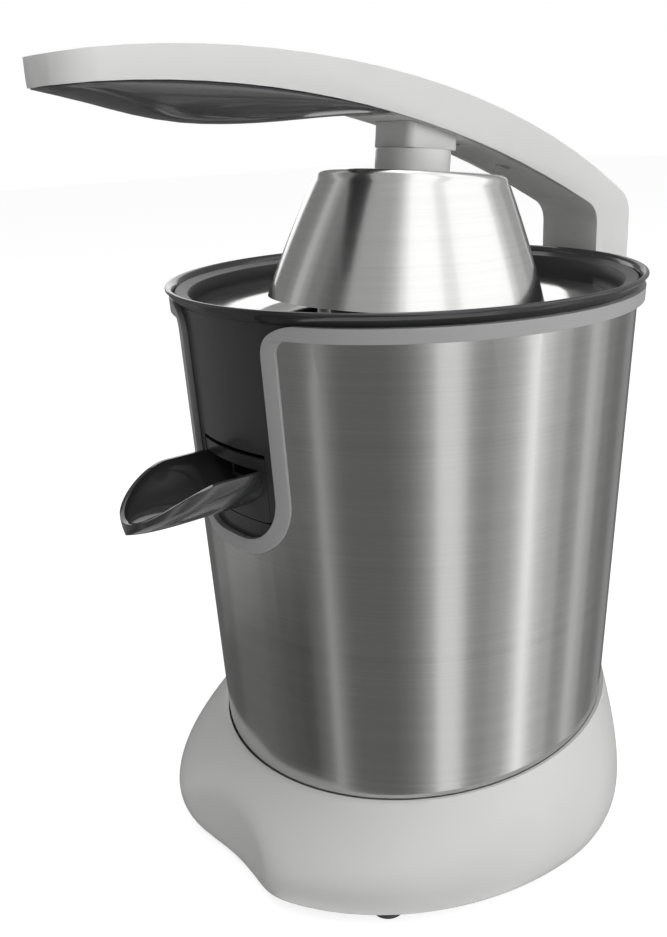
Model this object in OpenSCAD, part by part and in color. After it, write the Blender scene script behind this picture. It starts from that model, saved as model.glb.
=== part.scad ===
// Electric citrus juicer with a press lever. The origin is on the table, under the axis of the
// round body. The spout and the handle's tip point to -Y, the lever's hinge is at +Y.

/* [Body] */
// Outer radius of the black rim
rim_r = 92; // [88:0.5:96]
// Height of the black rim above the trim band
rim_h = 5.1; // [4.6:0.1:7]
// Height of the grey trim band under the rim
band_h = 4.9; // [4:0.1:7]
// How far the rim stands out past the steel
rim_overhang = 3.6; // [3:0.1:4.4]
// Height of the steel shell from the collar to the trim band, at its sides
shell_h = 168; // [160:1:172]
// How much narrower the steel is at the collar than at the band
shell_taper = 7; // [6:0.2:9]
// Thickness of the steel sheet
shell_wall = 0.8; // [0.6:0.1:1.1]
// Wall of the black inner housing
housing_wall = 2; // [1.6:0.1:2.4]
// How far the trim band stands out of the steel
trim_proud = 2.6; // [1.2:0.1:3]

/* [Cut-out] */
// Half width of the opening inside the trim
notch_half_w = 25.4; // [24.6:0.2:27]
// Depth of the opening below the rim's top
notch_depth = 85.5; // [84:0.5:90]
// Radius of the opening's lower corners
notch_corner_r = 18.5; // [14:0.5:22]
// Width of the trim round the opening
notch_trim_w = 5.6; // [4.6:0.2:6.4]
// Radius where the trim turns from the opening into the band
notch_flare_r = 11; // [9:0.5:13]
// How far the frame round the opening stands out of the steel
frame_proud = 0.8; // [0.5:0.1:1.2]

/* [Base] */
// Height of the rubber feet
foot_h = 3; // [2.5:0.5:5]
// Radius of the rubber feet
foot_r = 7; // [6:0.5:8]
// Height of the skirt from its lower edge to the collar, at its sides
skirt_h = 48; // [45:0.5:51]
// How far the skirt stands out past the rim on each side
skirt_side_reach = 2; // [0:0.5:6]
// How far the skirt stands out past the rim at the front
skirt_front_reach = 17; // [14:0.5:22]
// How far the skirt ends before the rim's edge at the back
skirt_back_inset = 8; // [2:0.5:9]
// Height of the widest line above the skirt's lower edge
skirt_widest_z = 15; // [12:0.5:17]
// How far the rounded lower edge draws in
skirt_edge = 9; // [7:0.5:10]
// Wall of the skirt
skirt_wall = 2.5; // [2:0.1:3]
// Slope of the collar's line, which rises to the back
collar_slope = 0.1; // [0.06:0.01:0.13]
// Radius of the shallow recess for the glass
recess_r = 75; // [60:1:90]
// Depth of the recess from the skirt's front
recess_depth = 13; // [10:0.5:14.5]

/* [Lever] */
// Width of the lever arm
arm_w = 30; // [28:0.5:33]
// Wall of the lever arm
arm_wall = 2.5; // [2:0.1:3]
// Reach of the handle's tip in front of the body's axis
arm_front = 141; // [138:1:146]
// Distance of the hinge pin behind the rim
hinge_reach = 18; // [17:0.5:22]
// Depth of the hinge pin below the rim's top
hinge_drop = 20.4; // [19:0.2:24]
// Thickness of the lever's rear leg
leg_t = 22; // [20:0.5:24]
// Height of the arm's upper line over the collar on the dome
neck_rise = 34.4; // [33:0.2:38]
// Thickness of the arm at the handle
arm_t = 8.2; // [8:0.1:10]
// Depth of the grip's belly below the arm
grip_depth = 11; // [8:0.5:13]
// Radius of the hinge pin
hinge_pin_r = 3.5; // [3:0.1:4]

/* [Press] */
// Radius of the press dome's lower edge
dome_r = 54; // [51:0.5:55]
// Radius of the press dome's flat top
dome_top_r = 37; // [34:0.5:39]
// Height of the press dome
dome_h = 45.2; // [44:0.1:49]
// Steel of the press dome
dome_wall = 1; // [0.8:0.1:1.4]
// Wall of the plastic liner in the dome
liner_wall = 2.2; // [1.8:0.1:2.6]
// Height of the dome's lower edge below the rim's top, at its middle
dome_drop = 8.4; // [7:0.1:10]
// Distance of the dome's lower middle behind the body's axis
dome_y = 1; // [0:0.5:3]
// Lean of the dome with the lever, in degrees
dome_lean = 6; // [4:0.5:7]
// Radius of the collar on the dome
collar_ring_r = 14.3; // [13:0.1:16]
// Height of the collar on the dome
collar_ring_h = 8.4; // [7.5:0.1:10]

/* [Spout] */
// Half width of the spout at its root
spout_half_w = 19; // [17:0.5:20]
// Reach of the spout's tip in front of the rim
spout_reach = 36; // [32:0.5:40]
// Depth of the spout's rim at its root below the juicer's rim
spout_drop = 58; // [56:0.2:60]
// Depth of the spout at its root
spout_h = 16.5; // [15:0.5:17.5]
// How far the spout's rim falls from its root to its tip
spout_fall = 12; // [9:0.5:13]
// Wall of the spout
spout_wall = 1.6; // [1.3:0.1:2]
// Radius of the pin that the spout tilts on
spout_pin_r = 1.5; // [1.2:0.1:1.8]

/* [Reamer and drive] */
// Radius of the reamer's ribbed cone
reamer_r = 34; // [31:0.5:36]
// Height of the ribbed cone
reamer_h = 38; // [35:0.5:39]
// Number of ribs on the cone
reamer_ribs = 8; // [6:1:10]
// Radius of the drive shaft
shaft_r = 4; // [3.6:0.1:4.4]
// Travel of the reamer when fruit is pressed on it
press_travel = 2; // [1:0.25:2.5]
// Size of the gear teeth
gear_module = 1; // [0.9:0.05:1.05]
// Teeth of the large gears
wheel_teeth = 42; // [40:2:42]
// Teeth of the small gears
pinion_teeth = 14; // [12:2:14]
// Radius of the motor
motor_r = 24; // [22:0.5:25]
// Length of the motor
motor_l = 56; // [50:1:60]

/* [Hidden] */
$fn = 96;

// Fits: face to face, loose seat, running shaft and the overrun of every cut
seat_gap = 0.1;
loose_gap = 0.3;
run_gap = 0.06;
cut = 1;

// Heights above the table
base_z = foot_h;
collar_z = base_z + skirt_h;
band_z = collar_z + shell_h;
rim_z = band_z + band_h;
rim_top_z = rim_z + rim_h;

// Skirt and hinge places, reckoned from the rim
skirt_half_w = rim_r + skirt_side_reach;
skirt_front = rim_r + skirt_front_reach;
skirt_back = rim_r - skirt_back_inset;
recess_y = skirt_front - recess_depth;
hinge_y = rim_r + hinge_reach;

// Radii of the steel cone
shell_top_r = rim_r - rim_overhang;
shell_foot_r = shell_top_r - shell_taper;
cone_rate = shell_taper / shell_h;
function shell_r(z) = shell_foot_r + (z - collar_z) * cone_rate;

// The steel's lower lip stands on a ledge of the housing, hidden in the skirt
lip_depth = 12;
lip_z = collar_z - lip_depth;
ledge_h = 3;

// Housing: its foot on the base plate, its deck over the gearbox and the hub round the shaft
plate_t = 2.5;
plate_top_z = base_z + plate_t;
housing_play = 0.8;
housing_gap = shell_wall + housing_play;
deck_drop = 89;
deck_z = rim_top_z - deck_drop;
deck_t = 3;
deck_top_z = deck_z + deck_t;
hub_r = 11;
hub_wall = 2.1;
hub_h = 50;
hub_top_z = deck_z + hub_h;

// Bowl and sieve
bowl_wall = 1.6;
bowl_flange_drop = 2.2;
bowl_flange_w = 5.2;
bowl_flange_t = 1.6;
bowl_flange_slope = 1.1;
bowl_flange_edge = 0.5;
bowl_rate = 0.08;
bowl_top_z = rim_top_z - bowl_flange_drop;
bowl_lip_r = shell_r(rim_z) - housing_gap - housing_wall - bowl_wall - loose_gap
    + (bowl_top_z - rim_z) * bowl_rate;
bowl_floor_drop = 66;
bowl_floor_z = rim_top_z - bowl_floor_drop;
bowl_tube_gap = 0.6;
bowl_tube_r = hub_r + bowl_tube_gap;
bowl_tube_rise = 4;
bowl_tube_top_z = hub_top_z + bowl_tube_rise;
bowl_fillet = 1;
function bowl_r(z) = bowl_lip_r - (bowl_top_z - z) * bowl_rate;
sieve_drop = 12.5;
sieve_z = rim_top_z - sieve_drop;
sieve_t = 0.8;
sieve_rim_w = 4;
sieve_slope_w = 18;
sieve_slope_h = 7;
sieve_lip_w = 6;
sieve_floor_depth = 17;
sieve_wall_w = 4;
sieve_floor_z = sieve_z - sieve_floor_depth;
sieve_edge_r = bowl_r(sieve_z) - loose_gap;
sieve_slope_r = sieve_edge_r - sieve_rim_w - sieve_slope_w;
sieve_floor_r = sieve_slope_r - sieve_wall_w;
sieve_lip_r = sieve_floor_r - sieve_lip_w;
plate_slots = 24;
plate_slot_w = 2;
plate_slot_l = 9;
plate_slot_gap = 3;
plate_row_gap = 5;
plate_collar_h = 2;
plate_hole_gap = 6.4;
ledge_w = 2.2;
ledge_t = 1;
ledge_bevel = 3.6;

// Spout: it passes a window in the housing and tilts on a pin behind it
spout_top_z = rim_top_z - spout_drop;
spout_floor_z = spout_top_z - spout_h;
spout_tip_y = -rim_r - spout_reach;
spout_nose_l = 27;
spout_straight_y = spout_tip_y + spout_nose_l;
spout_barrel_r = 3.2;
spout_pin_rise = 0.5;
spout_pin_z = spout_floor_z + spout_pin_rise;
window_gap = 0.9;
window_rise = 6;
window_top_z = spout_top_z + window_rise;
window_bottom_z = spout_pin_z - spout_barrel_r - window_gap;
lug_t = 3;
lug_r = 4.5;
lug_inner_x = spout_half_w + window_gap;
lug_outer_x = lug_inner_x + lug_t;
housing_in_r = shell_r(spout_floor_z) - housing_gap - housing_wall;
spout_pin_y = lug_r - sqrt(pow(housing_in_r, 2) - pow(lug_outer_x, 2));
spout_rear_y = spout_pin_y + spout_barrel_r;
niche_gap = 8;
niche_y = spout_rear_y + niche_gap;
niche_half_w = lug_outer_x + loose_gap;
niche_top_z = window_top_z + window_gap;
niche_skin_inset = 0.4;
chute_half_w = 10.5;
chute_h = 10;
chute_end_y = spout_pin_y - spout_barrel_r;
chute_z = bowl_floor_z - bowl_wall;

// Reamer and shaft
reamer_flange_w = 4;
reamer_flange_r = reamer_r + reamer_flange_w;
reamer_flange_h = 3;
reamer_drop = 10;
reamer_z = sieve_z - reamer_drop;
reamer_root_r = 0.6;
reamer_overlap = 0.5;
reamer_round_share = 0.8;
reamer_boss_r = 7;
reamer_boss_drop = 6;
reamer_bore_cover = 11;
reamer_bore_top_z = reamer_z + reamer_h - reamer_bore_cover;
reamer_wall = 7;
reamer_cavity_r = reamer_r - reamer_wall;
reamer_cavity_top_r = 8;
reamer_cavity_h = reamer_h - 2 * reamer_wall;
rib_rise_share = 0.13;
shaft_tail = 28;
shaft_bottom_z = deck_z - shaft_tail;
shaft_end_gap = 0.5;
shaft_top_z = reamer_bore_top_z - shaft_end_gap;
shaft_flat_share = 0.8;
shaft_flat = shaft_r * shaft_flat_share;

// Spring, washer, bush and seal in the hub
hub_bore_r = hub_r - hub_wall;
spring_seat_h = 2;
spring_z = deck_z + spring_seat_h;
spring_h = 16;
spring_wire_r = 0.6;
spring_r = 6.6;
spring_turns = 5;
washer_z = spring_z + spring_h;
washer_t = 2;
shoulder_w = 2;
shoulder_r = shaft_r + shoulder_w;
shoulder_h = 3;
bush_h = 10;
seal_h = 3;

// Gear train
wheel_r = gear_module * wheel_teeth / 2;
pinion_r = gear_module * pinion_teeth / 2;
gear_d = wheel_r + pinion_r;
idler_angle = 45;
idler_at = [gear_d * cos(idler_angle), gear_d * sin(idler_angle)];
motor_at = [0, gear_d * sqrt(2)];
tip_share = 0.9;
root_share = 1.15;
tooth_root_share = 0.27;
tooth_tip_share = 0.11;
wheel_tip_r = wheel_r + tip_share * gear_module;
case_shares = [0.286, 0.43];
case_at = gear_d * case_shares;
case_gap = 1.6;
case_r = norm(case_at) + wheel_tip_r + case_gap;
case_wall = 2.5;
case_floor_t = 3;
case_h = 18;
cover_t = 3;
cover_z = deck_z - cover_t;
case_z = cover_z - case_h - case_floor_t;
gear_low_h = 6;
gear_high_h = 7;
idler_pin_r = 2.5;
idler_bore_r = idler_pin_r + run_gap;
gear_gap = 1;
ear_r = 5;
ear_h = 6;
ear_angles = [80, 200, 320];
case_screw_r = 1.6;
case_screw_head_r = 3;
case_screw_head_h = 2;
ear_reach = case_r + case_wall + case_screw_head_r + loose_gap;
idler_boss_r = 5;
idler_pin_depth = 2;
gear_hub_w = 4;
motor_shaft_end = 2;
gear_low_z = case_z + case_floor_t + gear_gap;
gear_high_z = gear_low_z + gear_low_h + gear_gap;

// Motor and switch
motor_shaft_r = 2;
motor_shaft_depth = 20;
motor_boss_r = 6;
motor_boss_h = 2;
motor_hole_gap = 0.2;
motor_hole_r = motor_boss_r + motor_hole_gap;
motor_tail_h = 3;
motor_vent_depth = 2;
motor_vent_share = 0.12;
motor_screw_x = 16;
motor_screw_r = 1.5;
motor_screw_head_r = 2.8;
motor_screw_head_h = 1.6;
motor_screw_l = 8;
motor_vent_h = 12;
motor_vent_w = 5;
motor_vents = 8;
plunger_r = 1.5;
plunger_l = 8.6;
plunger_gap = loose_gap;
plunger_top_z = shaft_bottom_z - plunger_gap;
switch_l = 20;
switch_w = 10;
switch_h = 10;
plunger_show = 3.7;
switch_z = plunger_top_z - plunger_show - switch_h;
switch_floor_t = 1.5;
bracket_t = 2.5;
bracket_leg_gap = 0.2;

// Feet, screws and the cord's grommet
foot_x_share = 0.62;
foot_front_share = 0.6;
foot_back_share = 0.52;
foot_x = foot_x_share * skirt_half_w;
foot_places = [for (side = [-1, 1], y = [-foot_front_share * skirt_front, foot_back_share * skirt_back])
    [side * foot_x, y]];
boss_r = 4;
boss_x_share = 0.51;
boss_y_share = 0.62;
skirt_boss_places = [for (side = [-1, 1]) [side * boss_x_share * skirt_half_w, -boss_y_share * skirt_front]];
rear_boss_angle = 60;
rear_boss_d = shell_r(base_z) - housing_gap - housing_wall - boss_r / 2;
rear_boss_places = [for (side = [-1, 1])
    [side * rear_boss_d * cos(rear_boss_angle), rear_boss_d * sin(rear_boss_angle)]];
boss_places = concat(skirt_boss_places, rear_boss_places);
base_screw_r = 1.6;
base_screw_head_r = 3;
base_screw_head_h = 1.5;
base_screw_l = 12;
grommet_r = 5.5;
grommet_lip_r = 7.5;
grommet_lip_t = 1.5;
grommet_bore_r = 3.2;
grommet_rise = 13;
grommet_z = base_z + grommet_rise;
grommet_l = 6;
grommet_flat_depth = 3.2;
grommet_flat_over = 4;

// Hinge and rear pillar
hinge_z = rim_top_z - hinge_drop;
hinge_ear_t = 5;
hinge_ear_r = 11.5;
hinge_gap = 0.3;
ear_inner_x = arm_w / 2 + hinge_gap;
ear_outer_x = ear_inner_x + hinge_ear_t;
leg_r = leg_t / 2;
pillar_foot_rise = 24;
pillar_foot_z = collar_z + pillar_foot_rise;
pillar_web_gap = 1.8;
pillar_screw_r = 2;
pillar_screw_head_r = 3.6;
pillar_screw_head_h = 2.4;
pillar_screw_steps = [22, 45, 74];
pillar_screw_zs = [for (step = pillar_screw_steps) pillar_foot_z + step];
pillar_screw_l = 16;
pillar_screw_grip = 2;
pillar_boss_l = 10;
pillar_boss_w = 2;
pillar_foot_w = 7;
pillar_foot_round = 3;
pillar_edge = 4;
pillar_bend_depth = 100;
pillar_bend_rise = 60;
pillar_top_run = 16;
pillar_ear_depth = 20;
pillar_pocket_rise = 34;
pillar_pocket_drop = 44;
pillar_back_wall = 24;
pin_head_t = 1.5;
pin_head_w = 2;

// Press group: the frame at the middle of the dome's lower edge leans with the lever
dome_z = rim_top_z - dome_drop;
dome_shoulder_r = 2.5;
dome_low_bow = 5;
dome_high_bow = 3.2;
dome_bow_shares = [0.35, 0.8];
dome_inset_share = 0.8;
liner_low = 1.2;
neck_w = 22;
neck_l = 26;
neck_corner_r = 4;
neck_shift = 1;
neck_bore_r = 2.2;
liner_boss_r = 8;
liner_boss_h = 4;
liner_ribs = 6;
liner_rib_t = 2;
liner_rib_r_share = 0.8;
liner_rib_z_share = 0.4;
dome_screw_r = 2;
dome_screw_head_r = 4.2;
dome_screw_head_h = 2.5;
dome_screw_l = 20;

// Arm outline: two curves of the side view, as shares of its length and rise
arm_rise = dome_h - dome_drop + collar_ring_h + neck_rise;
arm_rear_y = hinge_y + leg_r;
arm_front_y = -arm_front;
arm_l = arm_front + arm_rear_y;
arm_steps = 18;
bend_steps = 6;
arm_corner_r = 10;
arm_outer_r = 12;
cover_plate_t = 2.4;
insert_gap = 0.2;
grip_rear_share = 0.476;
cover_front_share = 0.492;
arm_screw_shares = [0.15, 0.26];
arm_screw_lean = -22;
arm_screw_sink = 0.6;
arm_screw_way = 4;
arm_screw_r = 1.6;
arm_screw_head_r = 3;
arm_screw_head_h = 1.4;
arm_screw_l = 9;

// Colours
plastic_grey = [0.74, 0.74, 0.73];
trim_grey = [0.56, 0.56, 0.56];
black = [0.07, 0.07, 0.07];
steel = [0.62, 0.62, 0.61];
dark_smoke = [0.1, 0.1, 0.1];
rubber_black = [0.05, 0.05, 0.05];
gear_white = [0.85, 0.84, 0.78];

// Closed skin over a list of rings with the same number of points, lowest ring first
function ring_mid(ring) = [for (k = [0:2]) ([for (p = ring) p[k]] * [for (p = ring) 1]) / len(ring)];
module loft(rings) {
    n = len(rings[0]);
    m = len(rings);
    points = concat([for (ring = rings) each ring], [ring_mid(rings[0]), ring_mid(rings[m - 1])]);
    sides = [
        for (j = [0:m - 2], i = [0:n - 1])
            let (a = j * n + i, b = j * n + (i + 1) % n)
            each [[a, a + n, b + n], [a, b + n, b]]
    ];
    low_cap = [for (i = [0:n - 1]) [i, (i + 1) % n, m * n]];
    high_cap = [for (i = [0:n - 1]) [(m - 1) * n + (i + 1) % n, (m - 1) * n + i, m * n + 1]];
    polyhedron(points = points, faces = concat(sides, low_cap, high_cap), convexity = 6);
}

// Points of an arc in a plane, and of a cubic curve
function arc(c, r, from, to, steps) =
    [for (i = [0:steps]) let (a = from + (to - from) * i / steps) [c[0] + r * cos(a), c[1] + r * sin(a)]];
function cubic(p, t) =
    pow(1 - t, 3) * p[0] + 3 * pow(1 - t, 2) * t * p[1] + 3 * (1 - t) * t * t * p[2] + pow(t, 3) * p[3];

// Solid of the side view, given as [y, z] points, and as wide as w
module side_slab(points, w) {
    translate([-w / 2, 0, 0]) rotate([90, 0, 90]) linear_extrude(height = w) polygon(points);
}

// Cone that follows the steel from one height to another, its radius grown by some amount
module body_cone(z0, z1, grow) {
    translate([0, 0, z0]) cylinder(h = z1 - z0, r1 = shell_r(z0) + grow, r2 = shell_r(z1) + grow);
}

// Front view of the cut-out, grown by some amount, and its prism through the front wall
flare_lift = 0.3;
module notch_outline(grow) {
    half = notch_half_w + grow;
    low = rim_top_z - notch_depth - grow;
    corner = notch_corner_r + grow;
    flare = notch_flare_r - grow;
    flare_z = rim_z - grow * (band_h - flare_lift) / notch_trim_w;
    translate([-half, low + corner]) square([2 * half, rim_top_z - low - corner]);
    translate([-half + corner, low]) square([2 * (half - corner), corner + cut]);
    for (side = [-1, 1]) translate([side * (half - corner), low + corner]) circle(r = corner);
    if (flare > 0)
        for (side = [-1, 1]) difference() {
            translate([side * half - flare, flare_z - flare]) square([2 * flare, flare + band_h + rim_h]);
            translate([side * (half + flare), flare_z - flare]) circle(r = flare);
        }
}
module notch_prism(grow) {
    intersection() {
        rotate([90, 0, 0]) linear_extrude(height = rim_r + cut) notch_outline(grow);
        body_cone(lip_z, rim_top_z, rim_overhang + cut);
    }
}

// Skirt: rings from the lower edge up to the leaning collar
skirt_steps = 10;
edge_steps = 5;
skirt_n = 72;
collar_wall = 1.7;
collar_r = shell_r(collar_z) + collar_wall;
function oval(half_w, front, back, z, slope) = [
    for (i = [0:skirt_n - 1])
        let (a = 360 * i / skirt_n, y = (sin(a) > 0 ? back : front) * sin(a))
        [half_w * cos(a), y, z + slope * y]
];
function skirt_ring(k, inset) =
    let (e = sin(90 * (1 - k)), r = collar_r - inset,
        top = collar_z, low = base_z + skirt_widest_z)
    oval(r + (skirt_half_w - inset - r) * e, r + (skirt_front - inset - r) * e,
        r + (skirt_back - inset - r) * e, low + (top - low) * k, collar_slope * k);
function edge_ring(k, inset) =
    let (d = skirt_edge * (1 - cos(90 * (1 - k))) + inset)
    oval(skirt_half_w - d, skirt_front - d, skirt_back - d,
        base_z + skirt_widest_z * (1 - sin(90 * (1 - k))), 0);
module skirt_skin(inset, drop) {
    floor_ring = [for (p = edge_ring(0, inset)) [p[0], p[1], base_z - drop]];
    rings = concat(drop > 0 ? [floor_ring] : [],
        [for (i = [0:edge_steps - 1]) edge_ring(i / edge_steps, inset)],
        [for (i = [0:skirt_steps]) skirt_ring(i / skirt_steps, inset)]);
    loft(rings);
}

module base_shell() {
    color(plastic_grey) difference() {
        union() {
            difference() {
                skirt_skin(0, 0);
                skirt_skin(skirt_wall, cut);
            }
            intersection() {
                skirt_skin(skirt_wall / 2, 0);
                for (p = skirt_boss_places) translate([p[0], p[1], plate_top_z + seat_gap])
                    cylinder(h = skirt_h, r = boss_r, $fn = 24);
            }
        }
        body_cone(base_z, collar_z + shell_h / 2, seat_gap);
        translate([0, -recess_y - recess_r, base_z - cut]) cylinder(h = skirt_h, r = recess_r);
        for (p = skirt_boss_places) translate([p[0], p[1], base_z])
            cylinder(h = base_screw_l + cut, r = base_screw_r + run_gap, $fn = 24);
        translate([0, 0, grommet_z]) rotate([-90, 0, 0])
            cylinder(h = skirt_back + cut, r = grommet_r + seat_gap);
        grommet_flat();
    }
    color(plastic_grey) recess_wall();
}

// The wall behind the glass recess keeps the skirt closed there
module recess_wall() {
    intersection() {
        skirt_skin(skirt_wall / 2, 0);
        difference() {
            translate([0, -recess_y - recess_r, base_z]) cylinder(h = skirt_h, r = recess_r + skirt_wall);
            translate([0, -recess_y - recess_r, base_z - cut]) cylinder(h = skirt_h + 2 * cut, r = recess_r);
            body_cone(base_z - cut, collar_z + shell_h / 2, seat_gap);
        }
    }
}

// Flat round the grommet, cut into the skirt's back
grommet_flat_y = skirt_back - grommet_flat_depth;
module grommet_flat() {
    translate([0, grommet_flat_y, grommet_z]) rotate([-90, 0, 0])
        cylinder(h = skirt_wall + grommet_flat_over, r = grommet_lip_r + loose_gap);
}

module base_plate() {
    inset = skirt_wall + loose_gap;
    color(black) difference() {
        translate([0, 0, base_z]) linear_extrude(height = plate_t)
            polygon([for (p = edge_ring(0, inset)) [p[0], p[1]]]);
        translate([0, -recess_y - recess_r, 0])
            cylinder(h = skirt_h, r = recess_r + skirt_wall + loose_gap);
        for (p = boss_places) translate([p[0], p[1], base_z - cut]) {
            cylinder(h = plate_t + 2 * cut, r = base_screw_r + 2 * run_gap, $fn = 24);
            cylinder(h = base_screw_head_h + cut, r = base_screw_head_r + 2 * run_gap, $fn = 24);
        }
    }
}

module feet() {
    color(rubber_black) for (p = foot_places) translate([p[0], p[1], 0]) {
        cylinder(h = foot_h, r1 = foot_r - foot_h / 4, r2 = foot_r, $fn = 48);
    }
}

module base_screws() {
    color(steel) for (p = boss_places) translate([p[0], p[1], base_z]) difference() {
        union() {
            cylinder(h = base_screw_head_h, r = base_screw_head_r, $fn = 24);
            cylinder(h = base_screw_l, r = base_screw_r, $fn = 24);
        }
        screw_slot(base_screw_head_r, base_screw_head_h);
    }
}

// Cross recess in the flat of a screw's head, which faces down, as shares of the head
slot_w_share = 0.3;
slot_l_share = 1.4;
slot_depth_share = 0.6;
module screw_slot(head_r, head_h) {
    slot_w = head_r * slot_w_share;
    slot_l = head_r * slot_l_share;
    for (turn = [0, 90]) rotate([0, 0, turn])
        translate([-slot_l / 2, -slot_w / 2, -cut]) cube([slot_l, slot_w, cut + head_h * slot_depth_share]);
}

module cord_grommet() {
    color(rubber_black) translate([0, grommet_flat_y, grommet_z]) rotate([-90, 0, 0]) difference() {
        union() {
            translate([0, 0, seat_gap]) cylinder(h = grommet_lip_t, r = grommet_lip_r);
            translate([0, 0, -grommet_l + grommet_lip_t]) cylinder(h = grommet_l, r = grommet_r);
        }
        translate([0, 0, -grommet_l - cut]) cylinder(h = 2 * grommet_l, r = grommet_bore_r);
    }
}

module steel_body() {
    color(steel) difference() {
        body_cone(lip_z, band_z, 0);
        body_cone(lip_z - cut, band_z + cut, -shell_wall);
        notch_prism(notch_trim_w + seat_gap);
        pillar_screw_holes(pillar_screw_r + loose_gap);
    }
}

module trim_band() {
    back = seat_gap - housing_gap;
    low_z = rim_top_z - notch_depth - notch_trim_w - cut;
    color(trim_grey) difference() {
        rotate_extrude() polygon([
            [shell_r(low_z) + back, low_z],
            [shell_r(low_z) + frame_proud, low_z],
            [shell_r(band_z) + frame_proud, band_z],
            [shell_r(band_z) + trim_proud, band_z],
            [shell_r(rim_z) + trim_proud, rim_z],
            [shell_r(rim_z) + back, rim_z]
        ]);
        notch_prism(0);
        difference() {
            body_cone(low_z - cut, band_z, rim_overhang);
            notch_prism(notch_trim_w);
        }
    }
}

// Upper half of the black housing: the tapered wall round the bowl, with the spout's window and lugs
module inner_housing() {
    grow = -housing_gap;
    color(black) difference() {
        union() {
            difference() {
                body_cone(deck_top_z, rim_z, grow);
                body_cone(deck_top_z - cut, rim_z + cut, grow - housing_wall);
            }
            spout_lugs();
            pillar_bosses([for (z = pillar_screw_zs) if (z > deck_top_z) z]);
        }
        spout_window();
        translate([-2 * spout_half_w, spout_pin_y, spout_pin_z]) rotate([0, 90, 0])
            cylinder(h = 4 * spout_half_w, r = spout_pin_r + run_gap / 2, $fn = 32);
        pillar_screw_holes(pillar_screw_r + run_gap / 2);
    }
}

// Lower half of the housing: the deck under the bowl and the wall round the motor
module motor_housing() {
    grow = -housing_gap;
    inner_grow = grow - housing_wall;
    color(black) difference() {
        union() {
            difference() {
                union() {
                    body_cone(plate_top_z, deck_top_z, grow);
                    body_cone(lip_z - ledge_h, lip_z, 0);
                }
                body_cone(plate_top_z - cut, deck_top_z + cut, inner_grow);
            }
            body_cone(deck_z, deck_top_z, inner_grow + housing_wall / 2);
            pillar_bosses([for (z = pillar_screw_zs) if (z < deck_z) z]);
            foot_bosses();
        }
        translate([0, 0, deck_z - cut]) cylinder(h = deck_t + 2 * cut, r = hub_bore_r);
        for (p = rear_boss_places) translate([p[0], p[1], base_z])
            cylinder(h = base_screw_l + cut, r = base_screw_r + run_gap, $fn = 24);
        gearbox_screw_holes(case_screw_r + run_gap / 2);
        pillar_screw_holes(pillar_screw_r + run_gap / 2);
        translate([0, 0, grommet_z]) rotate([-90, 0, 0])
            cylinder(h = skirt_back + cut, r = grommet_r + loose_gap);
    }
}

// Hub on the deck, which holds the shaft's bush and seal
module shaft_hub() {
    color(black) translate([0, 0, deck_top_z]) difference() {
        cylinder(h = hub_h - deck_t, r = hub_r);
        translate([0, 0, -cut]) cylinder(h = hub_h + cut, r = hub_bore_r);
    }
}

// Bosses at the housing's foot for the base plate's rear screws
module foot_bosses() {
    intersection() {
        body_cone(plate_top_z, collar_z, -housing_gap - housing_wall / 2);
        for (p = rear_boss_places) translate([p[0], p[1], plate_top_z])
            cylinder(h = base_screw_l + boss_r, r = boss_r, $fn = 24);
    }
}

// Window for the spout, through the front wall
module spout_window() {
    translate([-lug_inner_x, -rim_r, window_bottom_z])
        cube([2 * lug_inner_x, rim_r + spout_rear_y + niche_gap, window_top_z - window_bottom_z]);
}

// Two lugs behind the wall hold the spout's pin
module spout_lugs() {
    intersection() {
        body_cone(lip_z, band_z, -housing_gap - housing_wall / 2);
        for (x = [-lug_outer_x, lug_inner_x]) hull() {
            translate([x, spout_pin_y, spout_pin_z]) rotate([0, 90, 0])
                cylinder(h = lug_t, r = lug_r, $fn = 32);
            translate([x, -shell_top_r, spout_pin_z - lug_r]) cube([lug_t, lug_r, 2 * lug_r]);
        }
    }
}

// Screw places of the rear pillar: bosses inside the housing, holes and the screws themselves
module pillar_bosses(heights) {
    for (z = heights) intersection() {
        body_cone(lip_z, band_z, -housing_gap - housing_wall / 2);
        translate([0, shell_r(z) - housing_gap - housing_wall - pillar_boss_l / 2, z]) rotate([-90, 0, 0])
            cylinder(h = pillar_boss_l, r = pillar_screw_r + pillar_boss_w, $fn = 32);
    }
}
module pillar_screw_holes(r) {
    for (z = pillar_screw_zs) translate([0, shell_foot_r / 2, z]) rotate([-90, 0, 0])
        cylinder(h = shell_top_r - shell_foot_r / 2 + cut, r = r, $fn = 32);
}

// Black rim: its face flares out to the lip, and the bowl's flange lies in the groove behind it
rim_flare = 3.2;
rim_lip_r = 0.9;
rim_lip_drop = 1.4;
module top_ring() {
    groove_r = bowl_lip_r + bowl_flange_w + loose_gap;
    shelf_top = bowl_top_z - bowl_flange_t - seat_gap;
    shelf_r = bowl_lip_r + bowl_wall + loose_gap;
    color(black) rotate_extrude($fn = 128) polygon([
        [shelf_r, rim_z],
        [rim_r - rim_flare, rim_z],
        [rim_r, rim_top_z - rim_lip_drop],
        each arc([rim_r - rim_lip_r, rim_top_z - rim_lip_r], rim_lip_r, 0, 90, 6),
        [groove_r + loose_gap, rim_top_z - rim_lip_drop],
        [groove_r, shelf_top],
        [shelf_r, shelf_top]
    ]);
}

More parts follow.
